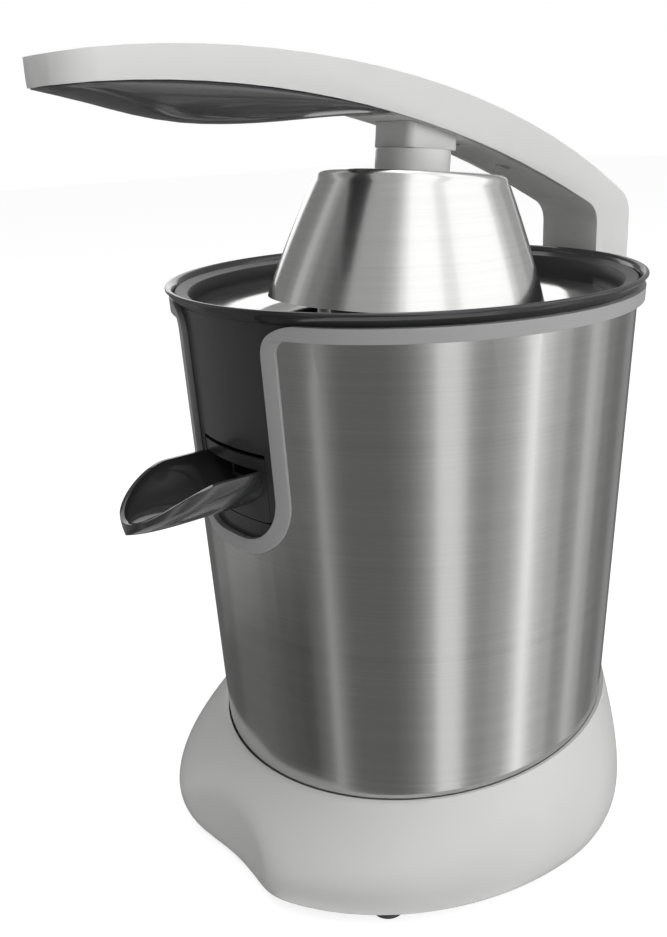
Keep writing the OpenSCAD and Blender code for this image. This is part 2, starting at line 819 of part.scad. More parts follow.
// Side outline of the pillar behind the body, from its foot to the web under the hinge
ear_arc_end = 140;
module rear_pillar() {
    web_z = hinge_z - leg_r - pillar_web_gap;
    back_y = hinge_y + leg_r;
    inside_y = shell_foot_r / 2;
    foot_y = shell_r(pillar_foot_z) + pillar_foot_w;
    back_curve = [[foot_y, pillar_foot_z + pillar_foot_round], [hinge_y - leg_r, hinge_z - pillar_bend_depth],
        [hinge_y, hinge_z - pillar_bend_rise], [back_y, web_z - pillar_top_run]];
    web_outline = [
        [inside_y, pillar_foot_z],
        [foot_y, pillar_foot_z],
        each [for (i = [0:8]) cubic(back_curve, i / 8)],
        [back_y, web_z - pillar_edge],
        [back_y - pillar_edge, web_z],
        [inside_y, web_z]
    ];
    ear_outline = [
        [inside_y, web_z - pillar_ear_depth],
        [back_y - seat_gap, web_z - pillar_ear_depth],
        [hinge_y + hinge_ear_r, hinge_z],
        each arc([hinge_y, hinge_z], hinge_ear_r, 0, ear_arc_end, 12),
        [inside_y, hinge_z]
    ];
    color(plastic_grey) difference() {
        union() {
            side_slab(web_outline, 2 * ear_outer_x);
            for (side = [-1, 1]) translate([side * (ear_inner_x + hinge_ear_t / 2), 0, 0])
                side_slab(ear_outline, hinge_ear_t);
        }
        body_cone(base_z, band_z, seat_gap);
        body_cone(band_z, rim_top_z, rim_overhang + loose_gap);
        pillar_pocket();
        translate([-2 * ear_outer_x, hinge_y, hinge_z]) rotate([0, 90, 0])
            cylinder(h = 4 * ear_outer_x, r = hinge_pin_r + run_gap / 2);
        for (z = pillar_screw_zs) translate([0, 0, z]) rotate([-90, 0, 0]) {
            cylinder(h = 2 * rim_r, r = pillar_screw_r + loose_gap, $fn = 32);
            translate([0, 0, pillar_head_y(z)])
                cylinder(h = 2 * rim_r, r = pillar_screw_head_r + loose_gap, $fn = 32);
        }
    }
}

// The pillar is a channel: a pocket from the body's side leaves its walls
pillar_wall = 3;
pillar_seat_t = 4;
function pillar_head_y(z) = shell_r(z) + pillar_seat_t;
module pillar_pocket() {
    pocket_low = pillar_foot_z + pillar_pocket_rise;
    pocket_high = hinge_z - pillar_pocket_drop;
    half = ear_outer_x - pillar_wall;
    difference() {
        translate([-half, 0, pocket_low])
            cube([2 * half, hinge_y - pillar_back_wall, pocket_high - pocket_low]);
        for (z = pillar_screw_zs) translate([0, 0, z]) rotate([-90, 0, 0])
            cylinder(h = hinge_y, r = pillar_screw_head_r + pillar_boss_w, $fn = 32);
    }
}

module pillar_screws() {
    color(steel) for (z = pillar_screw_zs) translate([0, pillar_head_y(z), z]) rotate([-90, 0, 0]) {
        translate([0, 0, seat_gap]) cylinder(h = pillar_screw_head_h, r = pillar_screw_head_r, $fn = 32);
        translate([0, 0, pillar_screw_grip - pillar_screw_l])
            cylinder(h = pillar_screw_l, r = pillar_screw_r, $fn = 32);
    }
}

module hinge_pin() {
    head_x = ear_outer_x + seat_gap / 2;
    pin_half = head_x + pin_head_t / 2;
    color(steel) translate([0, hinge_y, hinge_z]) rotate([0, 90, 0]) {
        translate([0, 0, -ear_outer_x]) cylinder(h = 2 * ear_outer_x, r = hinge_pin_r);
        for (x = [-head_x - pin_head_t, head_x]) translate([0, 0, x])
            cylinder(h = pin_head_t, r = hinge_pin_r + pin_head_w);
        translate([0, 0, -pin_half]) cylinder(h = 2 * pin_half, r = hinge_pin_r / 2);
    }
}

module juice_bowl() {
    floor_r = bowl_r(bowl_floor_z);
    step_z = sieve_z - seat_gap;
    step_r = bowl_r(step_z);
    bevel_z = step_z - ledge_t - ledge_bevel;
    flange_low_z = bowl_top_z - bowl_flange_t;
    flange_r = bowl_lip_r + bowl_flange_w;
    slope_end_z = bowl_top_z - bowl_flange_slope;
    color(black) difference() {
        union() {
            bowl_niche(bowl_wall, -niche_skin_inset);
            bowl_chute(0, 0);
            rotate_extrude($fn = 128) polygon([
                [bowl_tube_r, chute_z],
                [floor_r, chute_z],
                [floor_r + bowl_wall, bowl_floor_z],
                [bowl_r(flange_low_z) + bowl_wall, flange_low_z],
                [flange_r, flange_low_z],
                [flange_r, bowl_top_z - bowl_flange_edge],
                [flange_r - bowl_flange_edge, bowl_top_z],
                [bowl_lip_r + bowl_flange_edge, slope_end_z],
                [bowl_lip_r, slope_end_z - bowl_flange_edge],
                [step_r, step_z],
                [step_r - ledge_w, step_z],
                [step_r - ledge_w, step_z - ledge_t],
                [bowl_r(bevel_z), bevel_z],
                [floor_r, bowl_floor_z + bowl_fillet],
                [floor_r - bowl_fillet, bowl_floor_z],
                [bowl_tube_r + bowl_wall, bowl_floor_z],
                [bowl_tube_r + bowl_wall, bowl_tube_top_z],
                [bowl_tube_r, bowl_tube_top_z]
            ]);
        }
        difference() {
            bowl_niche(0, cut);
            bowl_chute(0, 0);
        }
        bowl_chute(bowl_wall, cut);
    }
}

// Niche in the bowl's front for the rear end of the spout, with a skin as thick as grow
module bowl_niche(grow, spread) {
    half = niche_half_w + grow;
    low = grow > 0 ? chute_z : chute_z - cut;
    intersection() {
        translate([0, 0, low]) cylinder(h = bowl_top_z - bowl_floor_z,
            r1 = bowl_r(bowl_floor_z) + bowl_wall + spread, r2 = bowl_lip_r + bowl_wall + spread);
        translate([-half, -rim_r, chute_z - cut])
            cube([2 * half, rim_r + niche_y + grow, niche_top_z + grow - chute_z + cut]);
    }
}

// Square tube that carries the juice over the spout's rear end
module bowl_chute(inset, over) {
    translate([-chute_half_w + inset, chute_end_y - over, chute_z + inset])
        cube([2 * (chute_half_w - inset), niche_y - chute_end_y + bowl_wall + 2 * over, chute_h - 2 * inset]);
}

// Steel dish of the sieve: rim, slope, wall and the lip that carries the plate
module sieve() {
    slope_z = sieve_z - sieve_slope_h;
    color(steel) rotate_extrude($fn = 128) polygon([
        [sieve_lip_r, sieve_floor_z],
        [sieve_floor_r, sieve_floor_z],
        [sieve_slope_r, slope_z],
        [sieve_edge_r - sieve_rim_w, sieve_z],
        [sieve_edge_r, sieve_z],
        [sieve_edge_r, sieve_z + sieve_t],
        [sieve_edge_r - sieve_rim_w, sieve_z + sieve_t],
        [sieve_slope_r - sieve_t, slope_z + sieve_t],
        [sieve_floor_r - sieve_t, sieve_floor_z + sieve_t],
        [sieve_lip_r, sieve_floor_z + sieve_t]
    ]);
}

// Slotted plate in the dish, with a collar round its middle hole
module sieve_plate() {
    low_z = sieve_floor_z + sieve_t + seat_gap;
    plate_r = sieve_floor_r - sieve_t - loose_gap;
    hole_r = hub_r + plate_hole_gap;
    slot_r = sieve_lip_r - plate_slot_gap - plate_slot_l;
    color(steel) translate([0, 0, low_z]) difference() {
        union() {
            cylinder(h = sieve_t, r = plate_r);
            cylinder(h = plate_collar_h, r = hole_r + sieve_t);
        }
        translate([0, 0, -cut]) cylinder(h = plate_collar_h + 2 * cut, r = hole_r);
        for (i = [0:plate_slots - 1]) rotate([0, 0, 360 * i / plate_slots]) {
            translate([slot_r, -plate_slot_w / 2, -cut])
                cube([plate_slot_l, plate_slot_w, sieve_t + 2 * cut]);
            if (i % 2 == 0) translate([slot_r - plate_row_gap - plate_slot_l, -plate_slot_w / 2, -cut])
                cube([plate_slot_l, plate_slot_w, sieve_t + 2 * cut]);
        }
    }
}

// Rings of the spout's outer and inner skins: half an ellipse at each place, from the root to the nose
spout_steps = 12;
spout_side_n = 20;
spout_fall_power = 1.5;
spout_point = 0.02;
function spout_half(y, inset) =
    let (u = max(0, spout_straight_y - y) / (spout_nose_l - inset))
    (spout_half_w - inset) * sqrt(max(0, 1 - u * u)) + spout_point;
function spout_rim_z(y) =
    spout_top_z - spout_fall * pow(max(0, spout_straight_y - y) / spout_nose_l, spout_fall_power);
function spout_ring(y, inset, lift) =
    let (w = spout_half(y, inset), top = spout_rim_z(y), h = top - spout_floor_z - inset)
    concat(
        lift > 0 ? [[-w, y, top + lift]] : [],
        [for (i = [0:spout_side_n]) let (a = 180 + 180 * i / spout_side_n)
            [w * cos(a), y, top + h * sin(a)]],
        lift > 0 ? [[w, y, top + lift]] : []
    );
module spout_skin(inset, lift) {
    rear = inset > 0 ? spout_rear_y + cut : spout_rear_y;
    nose = [for (i = [0:spout_steps]) spout_straight_y - (spout_nose_l - inset) * sin(90 * i / spout_steps)];
    loft([for (y = concat([rear], nose)) spout_ring(y, inset, lift)]);
}
module spout() {
    barrel_half = spout_half_w - spout_wall;
    color(dark_smoke) difference() {
        union() {
            difference() {
                spout_skin(0, 0);
                spout_skin(spout_wall, cut);
            }
            translate([-barrel_half, spout_pin_y, spout_pin_z]) rotate([0, 90, 0])
                cylinder(h = 2 * barrel_half, r = spout_barrel_r, $fn = 48);
        }
        translate([-2 * spout_half_w, spout_pin_y, spout_pin_z]) rotate([0, 90, 0])
            cylinder(h = 4 * spout_half_w, r = spout_pin_r + run_gap, $fn = 32);
    }
}
module spout_pin() {
    color(steel) translate([-lug_outer_x, spout_pin_y, spout_pin_z]) rotate([0, 90, 0])
        cylinder(h = 2 * lug_outer_x, r = spout_pin_r, $fn = 32);
}

// Ribbed cone: the ribs fade out towards the rounded tip
reamer_n = 64;
reamer_steps = 12;
function reamer_ring(t) =
    let (r = reamer_r * pow(cos(90 * t), reamer_round_share) + reamer_root_r, rib = rib_rise_share * (1 - t),
        z = reamer_z + reamer_flange_h - reamer_overlap + (reamer_h - reamer_flange_h) * sin(90 * t))
    [for (i = [0:reamer_n - 1]) let (a = 360 * i / reamer_n,
        w = r * (1 - rib + rib * abs(cos(reamer_ribs * a / 2))))
        [w * cos(a), w * sin(a), z]];
module reamer_cone() {
    boss_z = reamer_z - reamer_boss_drop;
    color(black) difference() {
        union() {
            difference() {
                union() {
                    loft([for (i = [0:reamer_steps]) reamer_ring(i / reamer_steps)]);
                    translate([0, 0, reamer_z]) cylinder(h = reamer_flange_h, r = reamer_flange_r);
                }
                translate([0, 0, reamer_z - cut])
                    cylinder(h = reamer_cavity_h, r1 = reamer_cavity_r, r2 = reamer_cavity_top_r);
            }
            translate([0, 0, boss_z]) cylinder(h = reamer_bore_top_z - boss_z, r = reamer_boss_r);
        }
        translate([0, 0, boss_z - cut])
            cylinder(h = reamer_bore_top_z - boss_z + cut, r = shaft_r + run_gap / 2);
    }
}

module drive_shaft() {
    color(steel) difference() {
        union() {
            translate([0, 0, shaft_bottom_z]) cylinder(h = shaft_top_z - shaft_bottom_z, r = shaft_r);
            translate([0, 0, washer_z + washer_t + seat_gap / 2]) cylinder(h = shoulder_h, r = shoulder_r);
        }
        translate([shaft_flat, -shaft_r, shaft_bottom_z - cut])
            cube([shaft_r, 2 * shaft_r, cover_z - shaft_bottom_z + cut + press_travel]);
    }
}

module thrust_washer() {
    color(steel) translate([0, 0, washer_z]) difference() {
        cylinder(h = washer_t, r = hub_bore_r - loose_gap);
        translate([0, 0, -cut]) cylinder(h = washer_t + 2 * cut, r = shaft_r + run_gap);
    }
}

// Compression spring in the hub, one unbroken tube
module return_spring() {
    per_turn = 12;
    steps = spring_turns * per_turn;
    low = spring_z + spring_wire_r + seat_gap / 2;
    rise = spring_h - 2 * spring_wire_r - seat_gap;
    color(steel) loft([for (i = [0:steps]) let (a = 360 * i / per_turn, z = low + rise * i / steps)
        [for (k = [0:5]) let (b = -60 * k, r = spring_r + spring_wire_r * cos(b))
            [r * cos(a), r * sin(a), z + spring_wire_r * sin(b)]]]);
}

module shaft_bush() {
    color("peru") translate([0, 0, hub_top_z - bush_h]) difference() {
        cylinder(h = bush_h, r = hub_bore_r - run_gap / 2);
        translate([0, 0, -cut]) cylinder(h = bush_h + 2 * cut, r = shaft_r + run_gap);
    }
}

module shaft_seal() {
    color(rubber_black) translate([0, 0, hub_top_z]) difference() {
        cylinder(h = seal_h, r = hub_r);
        translate([0, 0, -cut]) cylinder(h = seal_h + 2 * cut, r = shaft_r + run_gap);
    }
}

// Places of the gearbox's three screws, on ears round its case
module at_ears() {
    for (a = ear_angles) translate([case_at[0] + ear_reach * cos(a), case_at[1] + ear_reach * sin(a), 0])
        children();
}
module gearbox_screw_holes(r) {
    at_ears() translate([0, 0, case_z]) cylinder(h = deck_z + deck_t - case_z + cut, r = r, $fn = 24);
}
module gearbox_case() {
    inside_z = case_z + case_floor_t;
    color("dimgray") difference() {
        union() {
            translate([case_at[0], case_at[1], case_z])
                cylinder(h = case_floor_t + case_h, r = case_r + case_wall);
            at_ears() translate([0, 0, cover_z - ear_h]) cylinder(h = ear_h, r = ear_r, $fn = 48);
        }
        difference() {
            translate([case_at[0], case_at[1], inside_z]) cylinder(h = case_h + cut, r = case_r);
            translate([idler_at[0], idler_at[1], case_z])
                cylinder(h = gear_low_z - case_z - seat_gap, r = idler_boss_r);
        }
        translate([0, 0, case_z - cut]) cylinder(h = case_floor_t + 2 * cut, r = shaft_r + run_gap);
        translate([motor_at[0], motor_at[1], case_z - cut])
            cylinder(h = case_floor_t + 2 * cut, r = motor_hole_r);
        translate([idler_at[0], idler_at[1], case_z + gear_gap])
            cylinder(h = case_h, r = idler_pin_r + run_gap / 2);
        for (side = [-1, 1]) translate([motor_at[0] + side * motor_screw_x, motor_at[1], case_z - cut]) {
            cylinder(h = case_floor_t + 2 * cut, r = motor_screw_r + run_gap, $fn = 24);
            translate([0, 0, cut + case_floor_t - motor_screw_head_h - seat_gap])
                cylinder(h = 2 * cut + motor_screw_head_h, r = motor_screw_head_r + run_gap, $fn = 24);
        }
        gearbox_screw_holes(case_screw_r + 2 * run_gap);
    }
}
module gearbox_cover() {
    color("dimgray") difference() {
        union() {
            translate([case_at[0], case_at[1], cover_z]) cylinder(h = cover_t, r = case_r + case_wall);
            at_ears() translate([0, 0, cover_z]) cylinder(h = cover_t, r = ear_r, $fn = 48);
            translate([0, 0, cover_z]) cylinder(h = cover_t + spring_seat_h, r = hub_bore_r - loose_gap);
        }
        translate([0, 0, cover_z - cut])
            cylinder(h = cover_t + spring_seat_h + 2 * cut, r = shaft_r + run_gap);
        translate([idler_at[0], idler_at[1], cover_z - cut])
            cylinder(h = cut + idler_pin_depth, r = idler_pin_r + run_gap / 2);
        gearbox_screw_holes(case_screw_r + 2 * run_gap);
    }
}
module gearbox_screws() {
    head_z = cover_z - ear_h - case_screw_head_h;
    color(steel) at_ears() translate([0, 0, head_z]) {
        cylinder(h = case_screw_head_h, r = case_screw_head_r, $fn = 24);
        cylinder(h = deck_z + deck_t - head_z - shaft_end_gap, r = case_screw_r, $fn = 24);
    }
}

// Spur gear with a tooth centred on the angle turn
module spur(teeth, h, turn) {
    pitch = gear_module * teeth / 2;
    tip = pitch + tip_share * gear_module;
    root = pitch - root_share * gear_module;
    step = 360 / teeth;
    linear_extrude(height = h) rotate(turn) polygon([for (i = [0:teeth - 1], c = [0:3])
        let (r = (c == 0 || c == 3) ? root : tip,
            half = (c == 0 || c == 3) ? tooth_root_share : tooth_tip_share,
            a = step * (i + (c < 2 ? -half : half)))
        [r * cos(a), r * sin(a)]]);
}
module output_gear() {
    color(gear_white) difference() {
        translate([0, 0, gear_high_z]) {
            spur(wheel_teeth, gear_high_h, idler_angle);
            cylinder(h = cover_z - gear_high_z - gear_gap, r = shaft_r + gear_hub_w);
        }
        intersection() {
            translate([0, 0, gear_high_z - cut]) cylinder(h = case_h, r = shaft_r + run_gap);
            translate([-2 * shaft_r, -2 * shaft_r, gear_high_z - cut])
                cube([2 * shaft_r + shaft_flat + run_gap, 4 * shaft_r, case_h]);
        }
    }
}
module idler_gear() {
    color(gear_white) translate([idler_at[0], idler_at[1], 0]) difference() {
        union() {
            translate([0, 0, gear_low_z]) spur(wheel_teeth, gear_low_h, idler_angle + 90);
            translate([0, 0, gear_low_z])
                spur(pinion_teeth, gear_high_z + gear_high_h - gear_low_z,
                    idler_angle + 180 + 180 / pinion_teeth);
        }
        translate([0, 0, gear_low_z - cut]) cylinder(h = case_h, r = idler_bore_r);
    }
}
module idler_pin() {
    color(steel) translate([idler_at[0], idler_at[1], case_z + gear_gap])
        cylinder(h = cover_z + idler_pin_depth - case_z - gear_gap, r = idler_pin_r);
}
module motor_pinion() {
    color("peru") translate([motor_at[0], motor_at[1], gear_low_z]) difference() {
        spur(pinion_teeth, gear_low_h, idler_angle + 270 + 180 / pinion_teeth);
        translate([0, 0, -cut]) cylinder(h = gear_low_h + 2 * cut, r = motor_shaft_r + run_gap / 2);
    }
}
module motor_shaft() {
    color(steel) translate([motor_at[0], motor_at[1], case_z - motor_shaft_depth])
        cylinder(h = motor_shaft_depth + gear_low_z - case_z + gear_low_h + motor_shaft_end,
            r = motor_shaft_r);
}
module motor() {
    color("gray") translate([motor_at[0], motor_at[1], case_z - motor_l]) difference() {
        union() {
            cylinder(h = motor_l, r = motor_r);
            translate([0, 0, motor_l]) cylinder(h = motor_boss_h, r = motor_boss_r);
            translate([0, 0, -motor_tail_h]) cylinder(h = motor_tail_h, r = motor_r / 3);
        }
        translate([0, 0, motor_l - motor_shaft_depth - cut])
            cylinder(h = motor_shaft_depth + motor_boss_h + 2 * cut, r = motor_shaft_r + run_gap);
        for (i = [0:motor_vents - 1]) rotate([0, 0, 360 * i / motor_vents])
            translate([motor_r - motor_vent_depth, -motor_vent_w / 2, motor_l * motor_vent_share])
                cube([motor_vent_depth + cut, motor_vent_w, motor_vent_h]);
        for (side = [-1, 1]) translate([side * motor_screw_x, 0, motor_l - motor_screw_l])
            cylinder(h = motor_screw_l + cut, r = motor_screw_r + run_gap / 2, $fn = 24);
    }
}
module motor_screws() {
    top_z = case_z + case_floor_t;
    color(steel) for (side = [-1, 1]) translate([motor_at[0] + side * motor_screw_x, motor_at[1], 0]) {
        translate([0, 0, top_z - motor_screw_head_h])
            cylinder(h = motor_screw_head_h, r = motor_screw_head_r, $fn = 24);
        translate([0, 0, top_z - motor_screw_l]) cylinder(h = motor_screw_l, r = motor_screw_r, $fn = 24);
    }
}

module switch_bracket() {
    inner = switch_l / 2 + bracket_leg_gap;
    color("silver") difference() {
        translate([-inner - bracket_t, -switch_w / 2, switch_z - bracket_t])
            cube([2 * (inner + bracket_t), switch_w, case_z - switch_z + bracket_t]);
        translate([-inner, -switch_w, switch_z]) cube([2 * inner, 2 * switch_w, case_z - switch_z + cut]);
    }
}
module micro_switch() {
    color("darkred") difference() {
        translate([-switch_l / 2, -switch_w / 2, switch_z]) cube([switch_l, switch_w, switch_h]);
        translate([0, 0, switch_z + switch_floor_t])
            cylinder(h = switch_h, r = plunger_r + run_gap, $fn = 32);
    }
}
module switch_plunger() {
    color("white") translate([0, 0, plunger_top_z - plunger_l])
        cylinder(h = plunger_l, r = plunger_r, $fn = 32);
}

// Side view of the arm. Each curve runs from the handle's tip to the corner over the rear leg,
// and its points are shares of the arm's length and of its rise above the rim.
arm_top_shares = [[0, 0.965], [0.252, 1.074], [0.653, 0.946], [0.966, 0.307]];
arm_low_shares = [[0.0076, 0.965], [0.271, 1.029], [0.576, 0.85], [0.889, 0.352]];
function arm_curve(shares, drop) =
    [for (s = shares) [arm_front_y + s[0] * arm_l, rim_top_z + s[1] * arm_rise - drop]];
arm_top_curve = arm_curve(arm_top_shares, 0);
arm_low_curve = arm_curve(arm_low_shares, arm_t);
function arm_top(inset) = [for (i = [0:arm_steps]) cubic(arm_top_curve, i / arm_steps) - [0, inset]];
function arm_low(inset) = [for (i = [arm_steps:-1:0]) cubic(arm_low_curve, i / arm_steps) + [0, inset]];

// Arc that carries a curve's end round into a vertical face, at y and with radius r
function bend(curve, y, r, from_end) =
    let (a = atan2(curve[3][1] - curve[2][1], curve[3][0] - curve[2][0]),
        lean = 90 + a,
        touch_y = y - r + r * cos(lean),
        touch_z = curve[3][1] + tan(a) * (touch_y - curve[3][0]),
        c = [y - r, touch_z - r * sin(lean)])
    from_end ? arc(c, r, lean, 0, bend_steps) : arc(c, r, 0, lean, bend_steps);
function arm_outline() = concat(
    arm_top(0),
    bend(arm_top_curve, arm_rear_y, arm_outer_r, true),
    arc([hinge_y, hinge_z], leg_r, 0, -180, 16),
    bend(arm_low_curve, arm_rear_y - leg_t, arm_corner_r, false),
    arm_low(0)
);
// Plan of the arm: straight sides and a round tip
module arm_plan(inset) {
    half = arm_w / 2 - inset;
    translate([0, arm_front_y + arm_w / 2, 0]) cylinder(h = 2 * rim_top_z, r = half);
    translate([-half, arm_front_y + arm_w / 2, 0]) cube([2 * half, arm_front + 2 * hinge_y, 2 * rim_top_z]);
}
module arm_solid() {
    intersection() {
        side_slab(arm_outline(), arm_w);
        arm_plan(0);
    }
}
// Hollow of the arm, open below, that the grip and the cover close
module arm_hollow(gap) {
    hollow_rear_y = arm_rear_y - leg_t - arm_corner_r;
    intersection() {
        side_slab(concat(arm_top(arm_wall), arm_low(-arm_t)), arm_w);
        arm_plan(arm_wall + gap);
        translate([-arm_w, arm_front_y, 0]) cube([2 * arm_w, arm_front + hollow_rear_y - gap, 2 * rim_top_z]);
    }
}
module lever_arm() {
    color(plastic_grey) difference() {
        arm_solid();
        arm_hollow(0);
        translate([-arm_w, hinge_y, hinge_z]) rotate([0, 90, 0])
            cylinder(h = 2 * arm_w, r = hinge_pin_r + run_gap);
    }
}

// Strip of the arm's underside between two distances from the tip
cover_front_y = arm_front_y + arm_l * cover_front_share;
grip_rear_y = arm_front_y + arm_l * grip_rear_share;
module underside_strip(y0, y1, drop) {
    intersection() {
        arm_hollow(insert_gap);
        side_slab(concat([for (i = [0:arm_steps]) cubic(arm_low_curve, i / arm_steps) + [0, cover_plate_t]],
            arm_low(-drop)), arm_w);
        translate([-arm_w, y0, 0]) cube([2 * arm_w, y1 - y0, 2 * rim_top_z]);
    }
}
module arm_cover() {
    color(plastic_grey) difference() {
        underside_strip(cover_front_y, arm_rear_y, 0);
        at_arm_screws() {
            translate([0, 0, -arm_screw_way])
                cylinder(h = arm_screw_way + arm_screw_head_h + seat_gap,
                    r = arm_screw_head_r + 2 * run_gap, $fn = 32);
            cylinder(h = arm_screw_l, r = arm_screw_r + 2 * run_gap, $fn = 32);
        }
    }
}
arm_screw_ys = [for (share = arm_screw_shares) cover_front_y + share * arm_l];
function arm_low_z(y) = let (pts = [for (i = [0:60]) cubic(arm_low_curve, i / 60)],
    k = max([for (i = [0:59]) pts[i][0] <= y ? i : 0]))
    pts[k][1] + (pts[k + 1][1] - pts[k][1]) * (y - pts[k][0]) / (pts[k + 1][0] - pts[k][0]);
module at_arm_screws() {
    for (y = arm_screw_ys) translate([0, y, arm_low_z(y) + arm_screw_sink]) rotate([arm_screw_lean, 0, 0])
        children();
}
module arm_screws() {
    color(steel) at_arm_screws() {
        cylinder(h = arm_screw_head_h, r = arm_screw_head_r, $fn = 32);
        cylinder(h = arm_screw_l, r = arm_screw_r, $fn = 32);
    }
}

// Grip: a plate in the arm's underside and a belly below it, deepest near its front third
grip_steps = 16;
grip_side_n = 14;
grip_inset = 0.8;
grip_lip = 0.8;
grip_front_y = arm_front_y + 3 * grip_inset;
grip_deepest_share = 0.42;
grip_round_power = 1.15;
function grip_deep(u) =
    let (s = u < grip_deepest_share ? u / grip_deepest_share : (1 - u) / (1 - grip_deepest_share))
    grip_depth * pow(sin(90 * s), grip_round_power);
function grip_ring(i) =
    let (u = i / grip_steps, y = grip_front_y + (grip_rear_y - grip_front_y) * u,
        half = arm_w / 2 - grip_inset,
        from_tip = min(half, y - arm_front_y - grip_inset),
        w = sqrt(half * half - pow(half - from_tip, 2)),
        z = arm_low_z(y) - seat_gap)
    [for (k = [0:grip_side_n]) let (a = -180 * k / grip_side_n)
        [w * cos(a), y, z + (grip_deep(u) + grip_lip) * sin(a)]];
module grip() {
    color(dark_smoke) union() {
        underside_strip(arm_front_y, grip_rear_y, grip_lip / 2);
        loft([for (i = [0:grip_steps]) grip_ring(i)]);
    }
}
// Everything over the arm's underside, for what ends there
module over_underside() {
    side_slab(concat([for (i = [0:arm_steps]) cubic(arm_low_curve, i / arm_steps)],
        [[arm_rear_y, 2 * rim_top_z], [arm_front_y, 2 * rim_top_z]]), 2 * arm_w);
}

// Frame of the press parts, at the middle of the dome's lower edge
module in_press_frame() {
    translate([0, dome_y, dome_z]) rotate([-dome_lean, 0, 0]) children();
}
module neck() {
    half_x = neck_w / 2;
    half_y = neck_l / 2;
    neck_z = dome_h + collar_ring_h;
    color(plastic_grey) difference() {
        in_press_frame() difference() {
            translate([0, neck_shift, neck_z]) linear_extrude(height = neck_rise) {
                square([neck_w - 2 * neck_corner_r, neck_l], center = true);
                square([neck_w, neck_l - 2 * neck_corner_r], center = true);
                for (sx = [-1, 1], sy = [-1, 1])
                    translate([sx * (half_x - neck_corner_r), sy * (half_y - neck_corner_r)])
                        circle(r = neck_corner_r);
            }
            cylinder(h = dome_h * 2, r = neck_bore_r + run_gap, $fn = 32);
        }
        over_underside();
    }
}
module neck_collar() {
    color(plastic_grey) in_press_frame() translate([0, 0, dome_h]) difference() {
        cylinder(h = collar_ring_h, r = collar_ring_r);
        translate([0, 0, -cut]) cylinder(h = collar_ring_h + 2 * cut, r = neck_bore_r + run_gap, $fn = 32);
    }
}

// Half section of the dome: nearly straight flank, round shoulder and flat top
function dome_section(inset) =
    let (low_r = dome_r - inset, top_r = dome_top_r - inset * dome_inset_share, top = dome_h - inset,
        low = inset > 0 ? -cut : 0,
        bow = [[low_r, low], [low_r - dome_low_bow, dome_h * dome_bow_shares[0]],
            [top_r + dome_high_bow, dome_h * dome_bow_shares[1]], [top_r, top - dome_shoulder_r]])
    concat([[0, low]], [for (i = [0:8]) cubic(bow, i / 8)],
        arc([top_r - dome_shoulder_r, top - dome_shoulder_r], dome_shoulder_r, 10, 90, 6), [[0, top]]);
module press_dome() {
    color(steel) in_press_frame() difference() {
        rotate_extrude($fn = 128) polygon(dome_section(0));
        rotate_extrude($fn = 128) polygon(dome_section(dome_wall));
        cylinder(h = dome_h * 2, r = neck_bore_r + run_gap, $fn = 32);
    }
}
module dome_liner() {
    color(black) in_press_frame() difference() {
        union() {
            difference() {
                intersection() {
                    rotate_extrude($fn = 128) polygon(dome_section(dome_wall + seat_gap));
                    translate([0, 0, liner_low]) cylinder(h = dome_h, r = dome_r);
                }
                rotate_extrude($fn = 128) polygon(dome_section(dome_wall + seat_gap + liner_wall));
            }
            translate([0, 0, dome_h - dome_wall - seat_gap - liner_boss_h])
                cylinder(h = liner_boss_h, r = liner_boss_r);
            intersection() {
                rotate_extrude($fn = 128) polygon(dome_section(dome_wall + seat_gap + liner_wall / 2));
                for (i = [0:liner_ribs - 1]) rotate([0, 0, 360 * i / liner_ribs])
                    translate([dome_top_r * liner_rib_r_share, -liner_rib_t / 2, dome_h * liner_rib_z_share])
                        cube([dome_r, liner_rib_t, dome_h]);
            }
        }
        cylinder(h = dome_h * 2, r = dome_screw_r + run_gap, $fn = 32);
    }
}
module dome_screw() {
    head_z = dome_h - dome_wall - seat_gap - liner_boss_h - dome_screw_head_h;
    color(steel) in_press_frame() translate([0, 0, head_z]) difference() {
        union() {
            cylinder(h = dome_screw_head_h, r = dome_screw_head_r, $fn = 48);
            cylinder(h = dome_screw_l + dome_screw_head_h, r = dome_screw_r, $fn = 32);
        }
        screw_slot(dome_screw_head_r, dome_screw_head_h);
    }
}

base_shell();
base_plate();
feet();
base_screws();
cord_grommet();
steel_body();
trim_band();
inner_housing();
motor_housing();
shaft_hub();
top_ring();
rear_pillar();
pillar_screws();
hinge_pin();
juice_bowl();
sieve();
sieve_plate();
spout();
spout_pin();
reamer_cone();
drive_shaft();
thrust_washer();
return_spring();
shaft_bush();
shaft_seal();
gearbox_case();
gearbox_cover();
gearbox_screws();
output_gear();
idler_gear();
idler_pin();
motor_pinion();
motor_shaft();
motor();
motor_screws();
switch_bracket();
micro_switch();
switch_plunger();
lever_arm();
arm_cover();
arm_screws();
grip();
neck();
neck_collar();
press_dome();
dome_liner();
dome_screw();
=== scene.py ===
"""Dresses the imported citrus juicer: smooth shells, soft edges, brushed metal, plastic and a small studio."""

